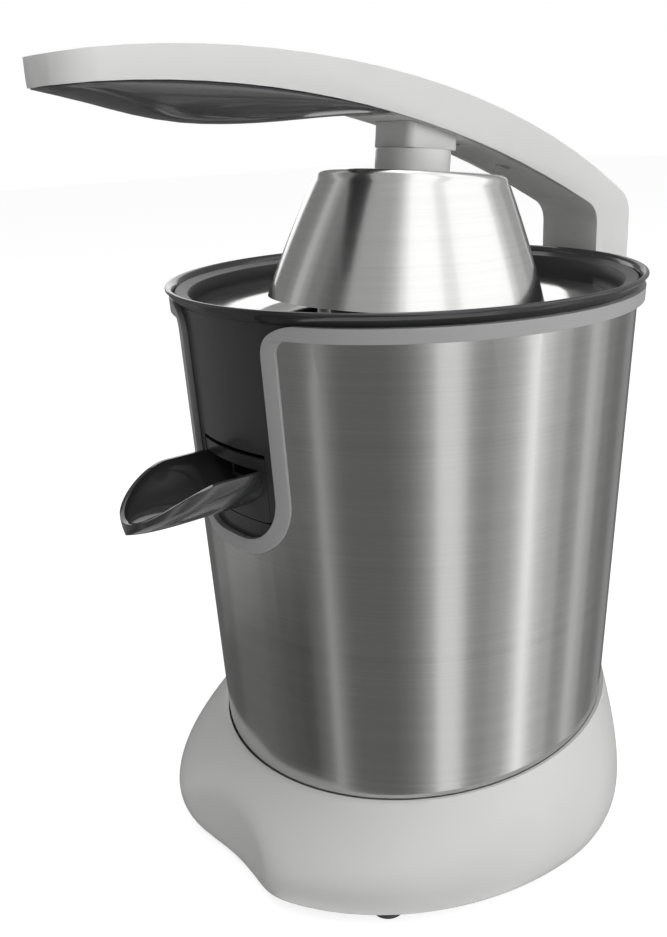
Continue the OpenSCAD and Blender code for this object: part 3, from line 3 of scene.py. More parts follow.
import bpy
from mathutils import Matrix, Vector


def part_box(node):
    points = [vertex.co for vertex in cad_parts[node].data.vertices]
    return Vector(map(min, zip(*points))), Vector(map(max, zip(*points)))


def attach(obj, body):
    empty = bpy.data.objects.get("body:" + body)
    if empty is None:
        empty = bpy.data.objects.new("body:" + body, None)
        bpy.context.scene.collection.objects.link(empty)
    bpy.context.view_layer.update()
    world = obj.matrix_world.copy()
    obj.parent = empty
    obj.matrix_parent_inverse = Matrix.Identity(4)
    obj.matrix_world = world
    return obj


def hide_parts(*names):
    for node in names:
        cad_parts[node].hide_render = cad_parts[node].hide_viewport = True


bl_info = {
    "name": "Citrus Juicer Dresser",
    "version": (1, 0, 0),
    "blender": (4, 5, 0),
    "location": "3D View > Sidebar > Juicer",
    "description": "Builds the visible shells, finishes and studio of a lever citrus juicer",
    "category": "Object",
}

import math

import bmesh
import bpy
from mathutils import Matrix, Vector

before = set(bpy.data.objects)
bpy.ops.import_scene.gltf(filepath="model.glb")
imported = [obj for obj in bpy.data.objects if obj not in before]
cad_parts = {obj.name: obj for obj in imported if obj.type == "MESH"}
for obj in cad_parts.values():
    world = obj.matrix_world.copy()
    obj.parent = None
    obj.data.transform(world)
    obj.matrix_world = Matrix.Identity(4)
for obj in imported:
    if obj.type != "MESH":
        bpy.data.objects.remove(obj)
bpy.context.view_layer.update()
MM = 0.001

RIM_LOW, RIM_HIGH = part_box("top_ring")
RIM_TOP = RIM_HIGH[2]
RIM_R = RIM_HIGH[0]
ARM_LOW, ARM_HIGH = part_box("lever_arm")
STEEL_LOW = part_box("steel_body")[0]
BASE_LOW, BASE_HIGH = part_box("base_shell")
DOME_LOW, DOME_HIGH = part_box("press_dome")
SPOUT_LOW, SPOUT_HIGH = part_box("spout")
SPOUT_TOP = RIM_TOP - 58 * MM
SPOUT_DEPTH = 16.5 * MM
SPOUT_HALF_W = 19 * MM
CUTOUT_HALF_W = 25.4 * MM
RECESS_FRONT = 96 * MM
DOME_AXIS_Y = 2 * MM
DOME_LEAN = math.radians(6)
SHARP_FOLD = math.radians(40)
WELD_COPY = 2e-6
WELD = 1e-6
TOUCH = 1e-7


class JuicerSizes(bpy.types.PropertyGroup):
    """Sizes of the dressed shells."""

    arm_edge: bpy.props.FloatProperty(
        name="Arm edge", description="Radius of the lever arm's long edges", default=2.3 * MM, unit="LENGTH")
    small_edge: bpy.props.FloatProperty(
        name="Small edge", description="Radius of moulded edges", default=0.6 * MM, unit="LENGTH")
    recess_soft: bpy.props.FloatProperty(
        name="Recess edge", description="Softness of the glass recess's edge", default=2.5 * MM,
        unit="LENGTH")
    skirt_steps: bpy.props.IntProperty(
        name="Skirt steps", description="Points round the base skirt", default=288, min=96, max=512)


class JuicerColours(bpy.types.PropertyGroup):
    """Base colours of the finishes."""

    shell: bpy.props.FloatVectorProperty(
        name="Shell", description="Light grey plastic of the base and the lever", subtype="COLOR",
        default=(0.53, 0.53, 0.525), min=0, max=1)
    trim: bpy.props.FloatVectorProperty(
        name="Trim", description="Mid grey plastic of the band and the cut-out's frame", subtype="COLOR",
        default=(0.30, 0.30, 0.30), min=0, max=1)
    rim: bpy.props.FloatVectorProperty(
        name="Rim", description="Black gloss plastic of the rim", subtype="COLOR",
        default=(0.018, 0.018, 0.019), min=0, max=1)
    panel: bpy.props.FloatVectorProperty(
        name="Panel", description="Black plastic of the housing and the bowl", subtype="COLOR",
        default=(0.026, 0.026, 0.026), min=0, max=1)
    steel: bpy.props.FloatVectorProperty(
        name="Steel", description="Brushed steel of the body", subtype="COLOR",
        default=(0.68, 0.68, 0.67), min=0, max=1)
    polished: bpy.props.FloatVectorProperty(
        name="Polished steel", description="Steel of the dome and the sieve", subtype="COLOR",
        default=(0.8, 0.8, 0.79), min=0, max=1)


# Shader wiring

class Wire:
    """One socket's value, which can be added to others and multiplied with them."""

    def __init__(self, sheet, socket):
        self.sheet = sheet
        self.socket = socket

    def maths(self, kind, *values):
        return self.sheet.node("ShaderNodeMath", {"operation": kind}, *values)

    def __add__(self, other):
        return self.maths("ADD", self, other)

    __radd__ = __add__

    def __mul__(self, other):
        return self.maths("MULTIPLY", self, other)

    __rmul__ = __mul__

    def clamped(self):
        return self.maths("MINIMUM", self.maths("MAXIMUM", self, 0), 1)


class Sheet:
    """The node sheet of one material or of the world."""

    def __init__(self, owner):
        owner.use_nodes = True
        self.tree = owner.node_tree
        self.tree.nodes.clear()

    def node(self, kind, settings=None, *values, out=0, **named):
        made = self.tree.nodes.new(kind)
        for key, value in (settings or {}).items():
            setattr(made, key, value)
        for index, value in enumerate(values):
            self.plug(made.inputs[index], value)
        for key, value in named.items():
            self.plug(made.inputs[key.replace("_", " ")], value)
        return Wire(self, made.outputs[out])

    def plug(self, socket, value):
        if isinstance(value, Wire):
            self.tree.links.new(value.socket, socket)
        elif value is not None:
            socket.default_value = value

    def place(self, scale=(1, 1, 1), turn=(0, 0, 0), centre=(0, 0, 0)):
        """Object coordinates, counted from a centre, turned and stretched."""
        spot = self.node("ShaderNodeTexCoord", out=3)
        moved = self.node("ShaderNodeMapping", {"vector_type": "POINT"}, spot, tuple(-c for c in centre))
        return self.node("ShaderNodeMapping", {"vector_type": "POINT"}, moved, (0, 0, 0), turn, scale)

    def noise(self, where, scale, detail=2.0, rough=0.5):
        return self.node("ShaderNodeTexNoise", Vector=where, Scale=scale, Detail=detail, Roughness=rough)

    def tint(self, colour, factor):
        """The colour, made lighter or darker by a factor near 1."""
        return self.node("ShaderNodeVectorMath", {"operation": "SCALE"}, tuple(colour), None, None, factor)

    def bump(self, height, strength, distance):
        return self.node("ShaderNodeBump", None, Strength=strength, Distance=distance, Height=height)

    def ray(self, *kinds):
        """1 for rays of these kinds, else 0."""
        path = self.tree.nodes.new("ShaderNodeLightPath")
        return sum(Wire(self, path.outputs[kind]) for kind in kinds).clamped()

    def end(self, shader, owner="Material"):
        """Takes the shader to the sheet's output."""
        out = self.tree.nodes.new("ShaderNodeOutput" + owner)
        self.plug(out.inputs[0], shader)

    def finish(self, **inputs):
        self.end(self.node("ShaderNodeBsdfPrincipled", **inputs))


WHITE = (1, 1, 1, 1)
FINISHES = {}


def finish_named(name, make):
    """One material per finish, made the first time that it is asked for."""
    if name not in FINISHES:
        FINISHES[name] = bpy.data.materials.new(name)
        make(Sheet(FINISHES[name]))
    return FINISHES[name]


def moulded(name, colour, rough=0.36, grain=0.03, coat=0.0, shift=0.03):
    """Moulded plastic: faint cloudiness, fine texture and a few duller patches."""
    clouds, grains, scuffs = 28, 1400, 160
    grain_h = 0.2 * MM

    def make(sheet):
        where = sheet.place()
        cloud = sheet.noise(where, clouds, 3)
        texture = sheet.noise(where, grains, 2)
        scuff = sheet.noise(where, scuffs, 4, 0.6)
        sheet.finish(
            Base_Color=sheet.tint(colour, 1 - shift + 2 * shift * cloud),
            Roughness=(rough - 0.06 + 0.08 * cloud + 0.05 * scuff).clamped(),
            Coat_Weight=coat, Coat_Roughness=0.08,
            Normal=sheet.bump(texture, grain, grain_h))
    return finish_named(name, make)


def gloss(name, colour, rough=0.12, coat=0.5):
    """Black gloss plastic with faint flow lines and fine scratches."""
    clouds, cloud_h = 35, 0.4 * MM
    streaks, streak_turn = (40, 900, 900), (0, 0, 0.4)

    def make(sheet):
        cloud = sheet.noise(sheet.place(), clouds, 3)
        scratch = sheet.noise(sheet.place(streaks, streak_turn), 1, 3, 0.7)
        sheet.finish(
            Base_Color=sheet.tint(colour, 0.85 + 0.3 * cloud),
            Roughness=(rough - 0.03 + 0.06 * cloud + 0.06 * scratch).clamped(),
            Coat_Weight=coat, Coat_Roughness=0.05,
            Normal=sheet.bump(cloud, 0.03, cloud_h))
    return finish_named(name, make)


def brushed(name, colour, rough=0.2, line=1500, wide=6, centre=(0, 0, 0), turn=(0, 0, 0), depth=0.12):
    """Steel brushed round an upright axis: hair lines that run level."""
    hairs_per_broad, smears = 9, 22
    hair_share, broad_share = 0.6, 0.4
    mark_h = 0.08 * MM

    def make(sheet):
        hair = sheet.noise(sheet.place((wide, wide, line), turn, centre), 1, 3, 0.7)
        broad = sheet.noise(sheet.place((wide, wide, line / hairs_per_broad), turn, centre), 1, 2)
        smear = sheet.noise(sheet.place(), smears, 3)
        mark = hair_share * hair + broad_share * broad
        sheet.finish(
            Base_Color=sheet.tint(colour, 0.86 + 0.24 * mark),
            Metallic=1.0,
            Roughness=(rough - 0.05 + 0.12 * mark + 0.05 * smear).clamped(),
            Normal=sheet.bump(mark, depth, mark_h))
    return finish_named(name, make)


def plain_metal(name, colour, rough=0.3):
    """Turned metal with faint cloudy wear."""
    clouds, turnings, turning_h = 90, (300, 300, 2200), 0.1 * MM

    def make(sheet):
        cloud = sheet.noise(sheet.place(), clouds, 3)
        fine = sheet.noise(sheet.place(turnings), 1, 2)
        sheet.finish(
            Base_Color=sheet.tint(colour, 0.88 + 0.2 * cloud),
            Metallic=1.0,
            Roughness=(rough - 0.05 + 0.15 * cloud).clamped(),
            Normal=sheet.bump(fine, 0.1, turning_h))
    return finish_named(name, make)


def rubbery(name, colour):
    """Matt rubber with a dusty, slightly rough skin."""
    specks, speck_h = 300, 0.3 * MM

    def make(sheet):
        dust = sheet.noise(sheet.place(), specks, 4, 0.7)
        sheet.finish(
            Base_Color=sheet.tint(colour, 0.8 + 0.5 * dust),
            Roughness=(0.65 + 0.2 * dust).clamped(),
            Normal=sheet.bump(dust, 0.3, speck_h))
    return finish_named(name, make)


# Shapes

def arc(centre, radius, start, end, steps):
    """Points of an arc in a plane, in degrees."""
    turns = [math.radians(start + (end - start) * i / steps) for i in range(steps + 1)]
    return [Vector((centre[0] + radius * math.cos(a), centre[1] + radius * math.sin(a))) for a in turns]


def loop_of(bm, points, closed=True):
    """Vertices and edges of one loop."""
    verts = [bm.verts.new(p) for p in points]
    pairs = list(zip(verts, verts[1:] + verts[:1])) if closed else list(zip(verts, verts[1:]))
    return [bm.edges.new(pair) for pair in pairs]


def skin(rings, closed=True):
    """A skin over rings with the same number of points, each bridged to the next."""
    bm = bmesh.new()
    loops = [loop_of(bm, ring, closed) for ring in rings]
    for low, high in zip(loops, loops[1:]):
        bmesh.ops.bridge_loops(bm, edges=low + high)
    bmesh.ops.recalc_face_normals(bm, faces=bm.faces)
    return bm


def lathe(section, steps):
    """A section of radius and height, spun full circle round an upright axis."""
    bm = bmesh.new()
    edges = loop_of(bm, [(r, 0, z) for r, z in section], closed=False)
    verts = list({v for e in edges for v in e.verts})
    bmesh.ops.spin(bm, geom=verts + edges, cent=(0, 0, 0), axis=(0, 0, 1), angle=2 * math.pi,
                   steps=steps, use_merge=True, use_duplicate=False)
    bmesh.ops.remove_doubles(bm, verts=bm.verts, dist=TOUCH)
    bmesh.ops.recalc_face_normals(bm, faces=bm.faces)
    return bm


def sharp_edges(bm):
    """Edges where two faces meet at a sharp fold."""
    return [e for e in bm.edges if len(e.link_faces) == 2 and e.calc_face_angle(0) > SHARP_FOLD]


def soften(bm, edges, radius, segments=3):
    """Rounds some edges."""
    bmesh.ops.bevel(bm, geom=edges, offset=radius, offset_type="OFFSET", affect="EDGES", segments=segments,
                    profile=0.5, material=-1, clamp_overlap=True)


def placed(name, bm, finish):
    """An object of the mesh with its finish, in the scene."""
    mesh = bpy.data.meshes.new(name)
    bm.to_mesh(mesh)
    bm.free()
    mesh.materials.append(finish)
    thing = bpy.data.objects.new(name, mesh)
    bpy.context.scene.collection.objects.link(thing)
    return thing


def wear(name, bm, finish, body, slot, *nodes, sharp=35):
    """Makes the piece, gives it its finish, and lets it ride in place of the nodes that it stands for."""
    piece = placed(name, bm, finish)
    piece.data.shade_smooth()
    piece.data.set_sharp_from_angle(angle=math.radians(sharp))
    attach(piece, body)
    if nodes:
        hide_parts(*nodes)
    return piece


def merged_copy(node, edge=0.0, flats=0.4):
    """The node's own mesh, with folds of up to some degrees made flat and its sharp edges rounded."""
    bm = bmesh.new()
    bm.from_mesh(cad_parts[node].data)
    bmesh.ops.remove_doubles(bm, verts=bm.verts, dist=WELD_COPY)
    bmesh.ops.dissolve_limit(bm, angle_limit=math.radians(flats), verts=bm.verts, edges=bm.edges,
                             delimit={"NORMAL"})
    if edge:
        soften(bm, sharp_edges(bm), edge)
    return bm


def smooth_copies(finish, body, slot, *nodes, edge=0.0):
    """Stands a smoothly shaded copy in for each node."""
    for node in nodes:
        wear(node + "_smooth", merged_copy(node, edge), finish, body, slot, node)


def cone_r(z):
    """Outer radius of the steel at a height."""
    foot_r, foot_z = 81.4 * MM, STEEL_LOW[2] + 12 * MM
    top_r, top_z = 88.4 * MM, RIM_TOP - 10 * MM
    return foot_r + (top_r - foot_r) * (z - foot_z) / (top_z - foot_z)


def dress(finish, *nodes):
    """Gives carried-over nodes a finish."""
    for node in nodes:
        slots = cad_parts[node].data.materials
        if not slots:
            slots.append(finish)
        for index in range(len(slots)):
            slots[index] = finish


def sizes():
    return bpy.context.scene.juicer_sizes


def colours():
    return bpy.context.scene.juicer_colours


# Finishes of this juicer

def shell_plastic():
    return moulded("shell_plastic", colours().shell, rough=0.34, grain=0.02, coat=0.15)


def trim_plastic():
    return moulded("trim_plastic", colours().trim, rough=0.4)


def rim_plastic():
    return gloss("rim_plastic", colours().rim, rough=0.14)


def panel_plastic():
    return moulded("panel_plastic", colours().panel, rough=0.3, grain=0.02, coat=0.25, shift=0.1)


def spout_plastic():
    return gloss("spout_plastic", (0.03, 0.03, 0.031), rough=0.08, coat=0.8)


def grip_plastic():
    return gloss("grip_plastic", (0.05, 0.05, 0.051), rough=0.16, coat=0.5)


def body_steel():
    return brushed("body_steel", colours().steel, rough=0.13, wide=3, depth=0.06)


def dome_steel():
    return brushed("dome_steel", colours().polished, rough=0.13, line=1800, wide=5, depth=0.06,
                   centre=(0, DOME_AXIS_Y, DOME_LOW[2]), turn=(DOME_LEAN, 0, 0))


def sieve_steel():
    return brushed("sieve_steel", colours().polished, rough=0.1, line=60, wide=60, depth=0.03)


def bowl_plastic():
    return moulded("bowl_plastic", colours().rim, rough=0.42, grain=0.02, shift=0.1)


def bare_steel():
    return plain_metal("bare_steel", (0.5, 0.5, 0.49))


class JUICER_OT_base(bpy.types.Operator):
    """Base skirt with its glass recess, base plate, feet and grommet"""

    bl_idname = "juicer.base"
    bl_label = "Base"

    def execute(self, context):
        half_w, back, front = BASE_HIGH[0], BASE_HIGH[1], 109 * MM
        low = BASE_LOW[2]
        widest, collar_z = low + 15 * MM, low + 48 * MM
        slope = 0.1
        collar_r, collar_edge, collar_wall, collar_h = 83.1 * MM, 0.4 * MM, 1.5 * MM, 12 * MM
        edge, wall = 9 * MM, 2.4 * MM
        bottom_share = 0.965
        edge_rings, side_rings = 8, 24
        steps = sizes().skirt_steps

        def oval(w, f, b, z, lean):
            """Ring of two half ellipses, front and back, that rises to the back by a lean."""
            ring = []
            for i in range(steps):
                a = 2 * math.pi * i / steps
                y = (b if math.sin(a) > 0 else f) * math.sin(a)
                ring.append(self.recess(w * math.cos(a), y, z + lean * y))
            return ring

        rings = []
        for i in range(edge_rings + 1):
            turn = math.radians(90 * (1 - i / edge_rings))
            drop = edge * (1 - math.cos(turn))
            z = low + (widest - low) * (1 - math.sin(turn))
            rings.append(oval(half_w - drop, front - drop, back - drop, z, 0))
        for i in range(1, side_rings + 1):
            k = i / side_rings
            bulge = math.sin(math.radians(90 * (1 - k)))
            reach = [collar_r + (size - collar_r) * bulge for size in (half_w, front, back)]
            rings.append(oval(*reach, widest + (collar_z - widest) * k, slope * k))
        inner = collar_r - collar_wall
        for drop in (collar_edge, collar_h):
            rings.append(oval(inner, inner, inner, collar_z - drop, slope))
        bottom = [Vector((p[0] * bottom_share, p[1] * bottom_share, low)) for p in rings[0]]
        inside = [Vector((p[0], p[1], low + wall)) for p in bottom]
        rings = [inside, bottom] + rings
        wear("skirt", skin(rings), shell_plastic(), "stand", "shell_plastic", "base_shell", sharp=60)
        smooth_copies(panel_plastic(), "stand", "inner_plastic", "base_plate")
        wear("foot_pads", merged_copy("feet", 0.7 * MM), rubbery("foot_rubber", (0.05, 0.05, 0.05)),
             "stand", "rubber", "feet")
        grommet_rubber = rubbery("cord_rubber", (0.03, 0.03, 0.03))
        smooth_copies(grommet_rubber, "stand", "rubber", "cord_grommet", edge=0.4 * MM)
        smooth_copies(bare_steel(), "stand", "plain_steel", "base_screws")
        return {"FINISHED"}

    def recess(self, x, y, z):
        """Pushes the skirt back to the shallow upright hollow in front, with a soft edge."""
        r, reach = 75 * MM, 60 * MM
        untouched, fully_pushed = -12, 30
        if y > 0 or abs(x) >= reach:
            return Vector((x, y, z))
        hollow = math.sqrt(r * r - x * x) - r - RECESS_FRONT
        soft = sizes().recess_soft
        gap = (hollow - y) / soft
        if gap < untouched:
            return Vector((x, y, z))
        push = soft * (math.log1p(math.exp(gap)) if gap < fully_pushed else gap)
        return Vector((x, y + push, z))


class JUICER_OT_body(bpy.types.Operator):
    """Steel body, trim band, black rim, housing panel and rear pillar"""

    bl_idname = "juicer.body"
    bl_label = "Body"

    def execute(self, context):
        small = sizes().small_edge
        wear("steel_shell", merged_copy("steel_body"), body_steel(), "stand", "brushed_steel", "steel_body")
        wear("trim_frame", self.frame(), trim_plastic(), "stand", "trim_plastic", "trim_band")
        wear("rim_ring", self.rim(), rim_plastic(), "stand", "black_plastic", "top_ring", sharp=50)
        panel = panel_plastic()
        wear("panel", merged_copy("inner_housing"), panel, "stand", "inner_plastic", "inner_housing")
        smooth_copies(panel, "stand", "inner_plastic", "motor_housing")
        shell = shell_plastic()
        wear("pillar", merged_copy("rear_pillar", small), shell, "stand", "shell_plastic", "rear_pillar")
        smooth_copies(bare_steel(), "stand", "plain_steel", "pillar_screws", "hinge_pin", edge=0.2 * MM)
        return {"FINISHED"}

    def frame(self):
        """Band and frame as one strip: the band sinks to the frame's level, and the upper corners round."""
        bm = merged_copy("trim_band")
        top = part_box("trim_band")[1][2]
        band_h, corner, proud = 4.9 * MM, 6 * MM, 0.8 * MM
        pushed_zone, sunk_zone = 20 * MM, 30 * MM
        edge, slack = 0.5 * MM, 0.01 * MM
        cuts = 8
        for k in range(cuts + 1):
            bmesh.ops.bisect_plane(bm, geom=bm.verts[:] + bm.edges[:] + bm.faces[:], dist=TOUCH,
                                   plane_co=(0, 0, top - corner * k / cuts), plane_no=(0, 0, 1))
        for v in bm.verts:
            x, y, z = v.co
            if y > 0 or abs(x) > CUTOUT_HALF_W + sunk_zone:
                continue
            past = abs(x) - CUTOUT_HALF_W
            r = math.hypot(x, y)
            flush = cone_r(z) + proud
            if z > top - band_h - slack and r > flush:
                level = max(0.0, min(1.0, past / sunk_zone))
                r = min(r, flush + (r - flush) * level * level * (3 - 2 * level))
            rise = max(0.0, z - top + corner)
            fade = max(0.0, 1 - max(0.0, past) / pushed_zone)
            push = (corner - math.sqrt(max(0.0, corner * corner - rise * rise))) * fade
            x = math.copysign(abs(x) + push, x)
            v.co = (x, -math.sqrt(max(0.0, r * r - x * x)), z)
        soften(bm, sharp_edges(bm), edge)
        return bm

    def rim(self):
        """Flared ring with a rounded lip and the groove for the bowl's flange behind it."""
        top, low = RIM_TOP, RIM_LOW[2]
        flare, lip, corner = 3.2 * MM, 0.9 * MM, 0.5 * MM
        lip_from, lip_to, lip_steps = -20, 110, 12
        groove, groove_slant, groove_drop = 88.9 * MM, 0.3 * MM, 1.4 * MM
        shelf, shelf_z = 85.3 * MM, top - 3.9 * MM
        steps = 256
        section = [(shelf, low), (RIM_R - flare - corner, low), (RIM_R - flare, low + corner)]
        section += arc((RIM_R - lip, top - lip), lip, lip_from, lip_to, lip_steps)
        section += [(groove + groove_slant, top - groove_drop), (groove, shelf_z), (shelf, shelf_z)]
        return lathe(section + section[:1], steps)


class JUICER_OT_bowl(bpy.types.Operator):
    """Juice bowl, sieve and pouring spout"""

    bl_idname = "juicer.bowl"
    bl_label = "Bowl and spout"

    def execute(self, context):
        wear("bowl", merged_copy("juice_bowl"), bowl_plastic(), "stand", "inner_plastic", "juice_bowl")
        steel = sieve_steel()
        wear("sieve_dish", merged_copy("sieve", flats=0.001), steel, "stand", "polished_steel", "sieve")
        wear("sieve_holes", merged_copy("sieve_plate"), steel, "stand", "polished_steel", "sieve_plate")
        black = spout_plastic()
        trough = wear("spout_trough", self.spout(), black, "pouring_spout", "black_plastic", "spout",
                      sharp=50)
        wall = trough.modifiers.new("wall", "SOLIDIFY")
        wall.thickness = 1.6 * MM
        wall.offset = -1
        wall.use_even_offset = True
        lip = trough.modifiers.new("lip", "BEVEL")
        lip.width = 0.55 * MM
        lip.segments = 4
        lip.limit_method = "ANGLE"
        lip.angle_limit = math.radians(50)
        barrel = merged_copy("spout")
        reach = 7 * MM
        far = [v for v in barrel.verts if v.co.z > SPOUT_LOW[2] + reach or v.co.y < SPOUT_HIGH[1] - reach]
        bmesh.ops.delete(barrel, geom=far, context="VERTS")
        wear("spout_barrel", barrel, black, "pouring_spout", "black_plastic", sharp=50)
        wear("spout_shield", self.shield(), panel_plastic(), "pouring_spout", "black_plastic")
        smooth_copies(bare_steel(), "stand", "plain_steel", "spout_pin")
        return {"FINISHED"}

    def shield(self):
        """Plate round the trough that closes the housing's window, bent like the housing."""
        half_w, low, high = 19.5 * MM, RIM_TOP - 77.8 * MM, SPOUT_TOP + 4.3 * MM
        trough_w, rim, floor = SPOUT_HALF_W - MM, SPOUT_TOP - 0.3 * MM, SPOUT_TOP - SPOUT_DEPTH + 0.9 * MM
        face, back = 1.75 * MM, 3.2 * MM
        steps = 48
        turns = [math.pi + math.pi * i / steps for i in range(steps + 1)]
        inner = [(trough_w * math.cos(a), rim + (rim - floor) * math.sin(a)) for a in turns]
        inner += [(trough_w - 2 * trough_w * i / steps, rim) for i in range(1, steps)]
        outer = []
        for x, z in inner:
            if z < rim:
                reach = max(abs(x) / half_w, (rim - z) / (rim - low))
                outer.append((x / reach, rim + (z - rim) / reach))
            else:
                outer.append((x * half_w / trough_w, high))
        rings = []
        for loop, depth in ((inner, face), (outer, face), (outer, back), (inner, back)):
            rings.append([(x, -math.sqrt((cone_r(z) - depth) ** 2 - x * x), z) for x, z in loop])
        return skin(rings + rings[:1])

    def spout(self):
        """Outer skin of the trough: half an ellipse at each place, narrowing to a rounded nose."""
        floor = SPOUT_TOP - SPOUT_DEPTH
        rear = SPOUT_HIGH[1]
        nose, fall, fall_power = 27 * MM, 12 * MM, 1.5
        straight = SPOUT_LOW[1] + nose
        around, rear_rings, nose_rings = 48, 8, 24
        places = [rear + (straight - rear) * i / rear_rings for i in range(rear_rings)]
        turns = [math.radians(90 * i / nose_rings) for i in range(nose_rings + 1)]
        places += [straight - nose * math.sin(turn) for turn in turns]
        angles = [math.pi + math.pi * i / around for i in range(around + 1)]
        rings = []
        for y in places:
            u = max(0.0, straight - y) / nose
            w = SPOUT_HALF_W * math.sqrt(max(0.0, 1 - u * u))
            rim = SPOUT_TOP - fall * u ** fall_power
            rings.append([(w * math.cos(a), y, rim + (rim - floor) * math.sin(a)) for a in angles])
        bm = skin(rings, closed=False)
        bmesh.ops.remove_doubles(bm, verts=bm.verts, dist=WELD)
        bmesh.ops.recalc_face_normals(bm, faces=bm.faces)
        low = min(bm.faces, key=lambda f: f.calc_center_median().z)
        if low.normal.z > 0:
            bmesh.ops.reverse_faces(bm, faces=bm.faces)
        return bm


class JUICER_OT_drive(bpy.types.Operator):
    """Reamer, shaft, gears, motor and switch"""

    bl_idname = "juicer.drive"
    bl_label = "Reamer and drive"

    def execute(self, context):
        wear("reamer", merged_copy("reamer_cone"), panel_plastic(), "reamer", "inner_plastic", "reamer_cone",
             sharp=50)
        dress(bare_steel(), "drive_shaft", "thrust_washer", "return_spring", "gearbox_screws", "idler_pin",
              "motor_shaft", "motor_screws", "switch_bracket")
        dress(plain_metal("bronze", (0.6, 0.42, 0.2), 0.35), "shaft_bush", "motor_pinion")
        dress(rubbery("seal_rubber", (0.03, 0.03, 0.03)), "shaft_seal")
        dress(moulded("case_plastic", (0.12, 0.12, 0.12), 0.5), "gearbox_case", "gearbox_cover")
        dress(moulded("gear_plastic", (0.7, 0.69, 0.63), 0.4), "output_gear", "idler_gear", "switch_plunger")
        dress(plain_metal("motor_can", (0.42, 0.42, 0.41), 0.35), "motor")
        dress(moulded("switch_plastic", (0.25, 0.03, 0.03), 0.45), "micro_switch")
        return {"FINISHED"}


class JUICER_OT_lever(bpy.types.Operator):
    """Lever arm, its cover and the dark grip under the handle"""

    bl_idname = "juicer.lever"
    bl_label = "Lever"

    def execute(self, context):
        arm = merged_copy("lever_arm")
        half_w = ARM_HIGH[0]
        nose_y = ARM_LOW[1] + half_w
        tip_slack, side_slack = 0.2 * MM, 0.05 * MM

        def outside(point):
            """Whether a point lies on the arm's flat sides or on its round tip."""
            on_tip = point.y < nose_y and math.hypot(point.x, point.y - nose_y) > half_w - tip_slack
            return on_tip or abs(point.x) > half_w - side_slack
        edges = [e for e in sharp_edges(arm) if all(outside(v.co) for v in e.verts)]
        soften(arm, edges, sizes().arm_edge, segments=5)
        wear("arm", arm, shell_plastic(), "lever", "shell_plastic", "lever_arm")
        smooth_copies(shell_plastic(), "lever", "shell_plastic", "arm_cover", edge=0.3 * MM)
        smooth_copies(bare_steel(), "lever", "plain_steel", "arm_screws", edge=0.2 * MM)
        wear("handle_grip", merged_copy("grip"), grip_plastic(), "lever", "black_plastic", "grip", sharp=50)
        return {"FINISHED"}


class JUICER_OT_press(bpy.types.Operator):
    """Press dome, liner, collar and neck"""

    bl_idname = "juicer.press"
    bl_label = "Press"

    def execute(self, context):
        wear("dome", self.dome(), dome_steel(), "lever", "polished_steel", "press_dome", sharp=50)
        smooth_copies(panel_plastic(), "lever", "inner_plastic", "dome_liner")
        smooth_copies(bare_steel(), "lever", "plain_steel", "dome_screw", edge=0.2 * MM)
        shell = shell_plastic()
        wear("collar", merged_copy("neck_collar", 0.8 * MM), shell, "lever", "shell_plastic", "neck_collar")
        wear("neck_block", merged_copy("neck", 0.5 * MM), shell, "lever", "shell_plastic", "neck")
        return {"FINISHED"}

    def dome(self):
        """Dome whose lower edge hangs a little deeper in front, as the pressed lever leaves it."""
        bm = merged_copy("press_dome")
        low, high = DOME_LOW[2], DOME_HIGH[2]
        hang, tip, edge_rise = 1.9 * MM, 0.035, 5.6 * MM
        for v in bm.verts:
            share = max(0.0, min(1.0, (high - v.co.z) / (high - low - edge_rise)))
            v.co.z -= share * (hang - tip * v.co.y)
        return bm


# Curtains round the studio: start and end bearing in degrees, from the front towards +X, and brightness.
# The body mirrors the low ones and the dome mirrors the high ones. The low ones up to one bearing are darker
# further down.
LOW_CURTAINS = (
    (-90, -72, 0.22), (-72, -40, 0.29), (-40, -28, 0.24), (-28, -18, 0.2), (-18, -8, 0.17),
    (-8, -2, 0.15), (-2, 2, 0.2), (2, 7, 0.42), (7, 11, 0.27), (11, 15, 0.18), (15, 42, 0.14),
    (42, 47, 0.17), (47, 51, 0.2), (51, 55, 0.26), (55, 59, 0.36), (59, 63, 0.48), (63, 75, 0.9),
    (75, 79, 0.7), (79, 83, 0.4), (83, 92, 0.33), (92, 97, 0.41), (97, 102, 0.46), (102, 106, 0.57),
    (106, 110, 0.8), (110, 117, 1.22), (117, 120, 0.9), (120, 124, 0.66), (124, 134, 0.53),
    (134, 142, 0.33), (142, 147, 0.38), (147, 155, 0.63), (155, 162, 0.46), (162, 172, 0.25),
    (172, 185, 0.2), (185, 200, 0.3), (200, 270, 0.12),
)
HIGH_CURTAINS = (
    (-90, -70, 0.22), (-70, -62, 0.26), (-62, -52, 0.5), (-52, -45, 0.33), (-45, -30, 0.22),
    (-30, -22, 0.16), (-22, -8, 0.115), (-8, -3, 0.2), (-3, 30, 0.4), (30, 38, 0.46), (38, 44, 0.6),
    (44, 51, 0.92), (51, 84, 1.28), (84, 98, 0.95), (98, 150, 1.27), (150, 158, 0.75), (158, 175, 0.53),
    (175, 192, 0.38), (192, 218, 0.33), (218, 262, 1.3), (262, 270, 0.2),
)
DARKER_UP_TO = -8
DARKER_SHARE = 0.5
CURTAIN_FOOT, DARK_TO, HALF_DARK_TO, LOW_TO, CURTAIN_TOP = -4.0, -1.12, -0.98, 0.25, 4.0


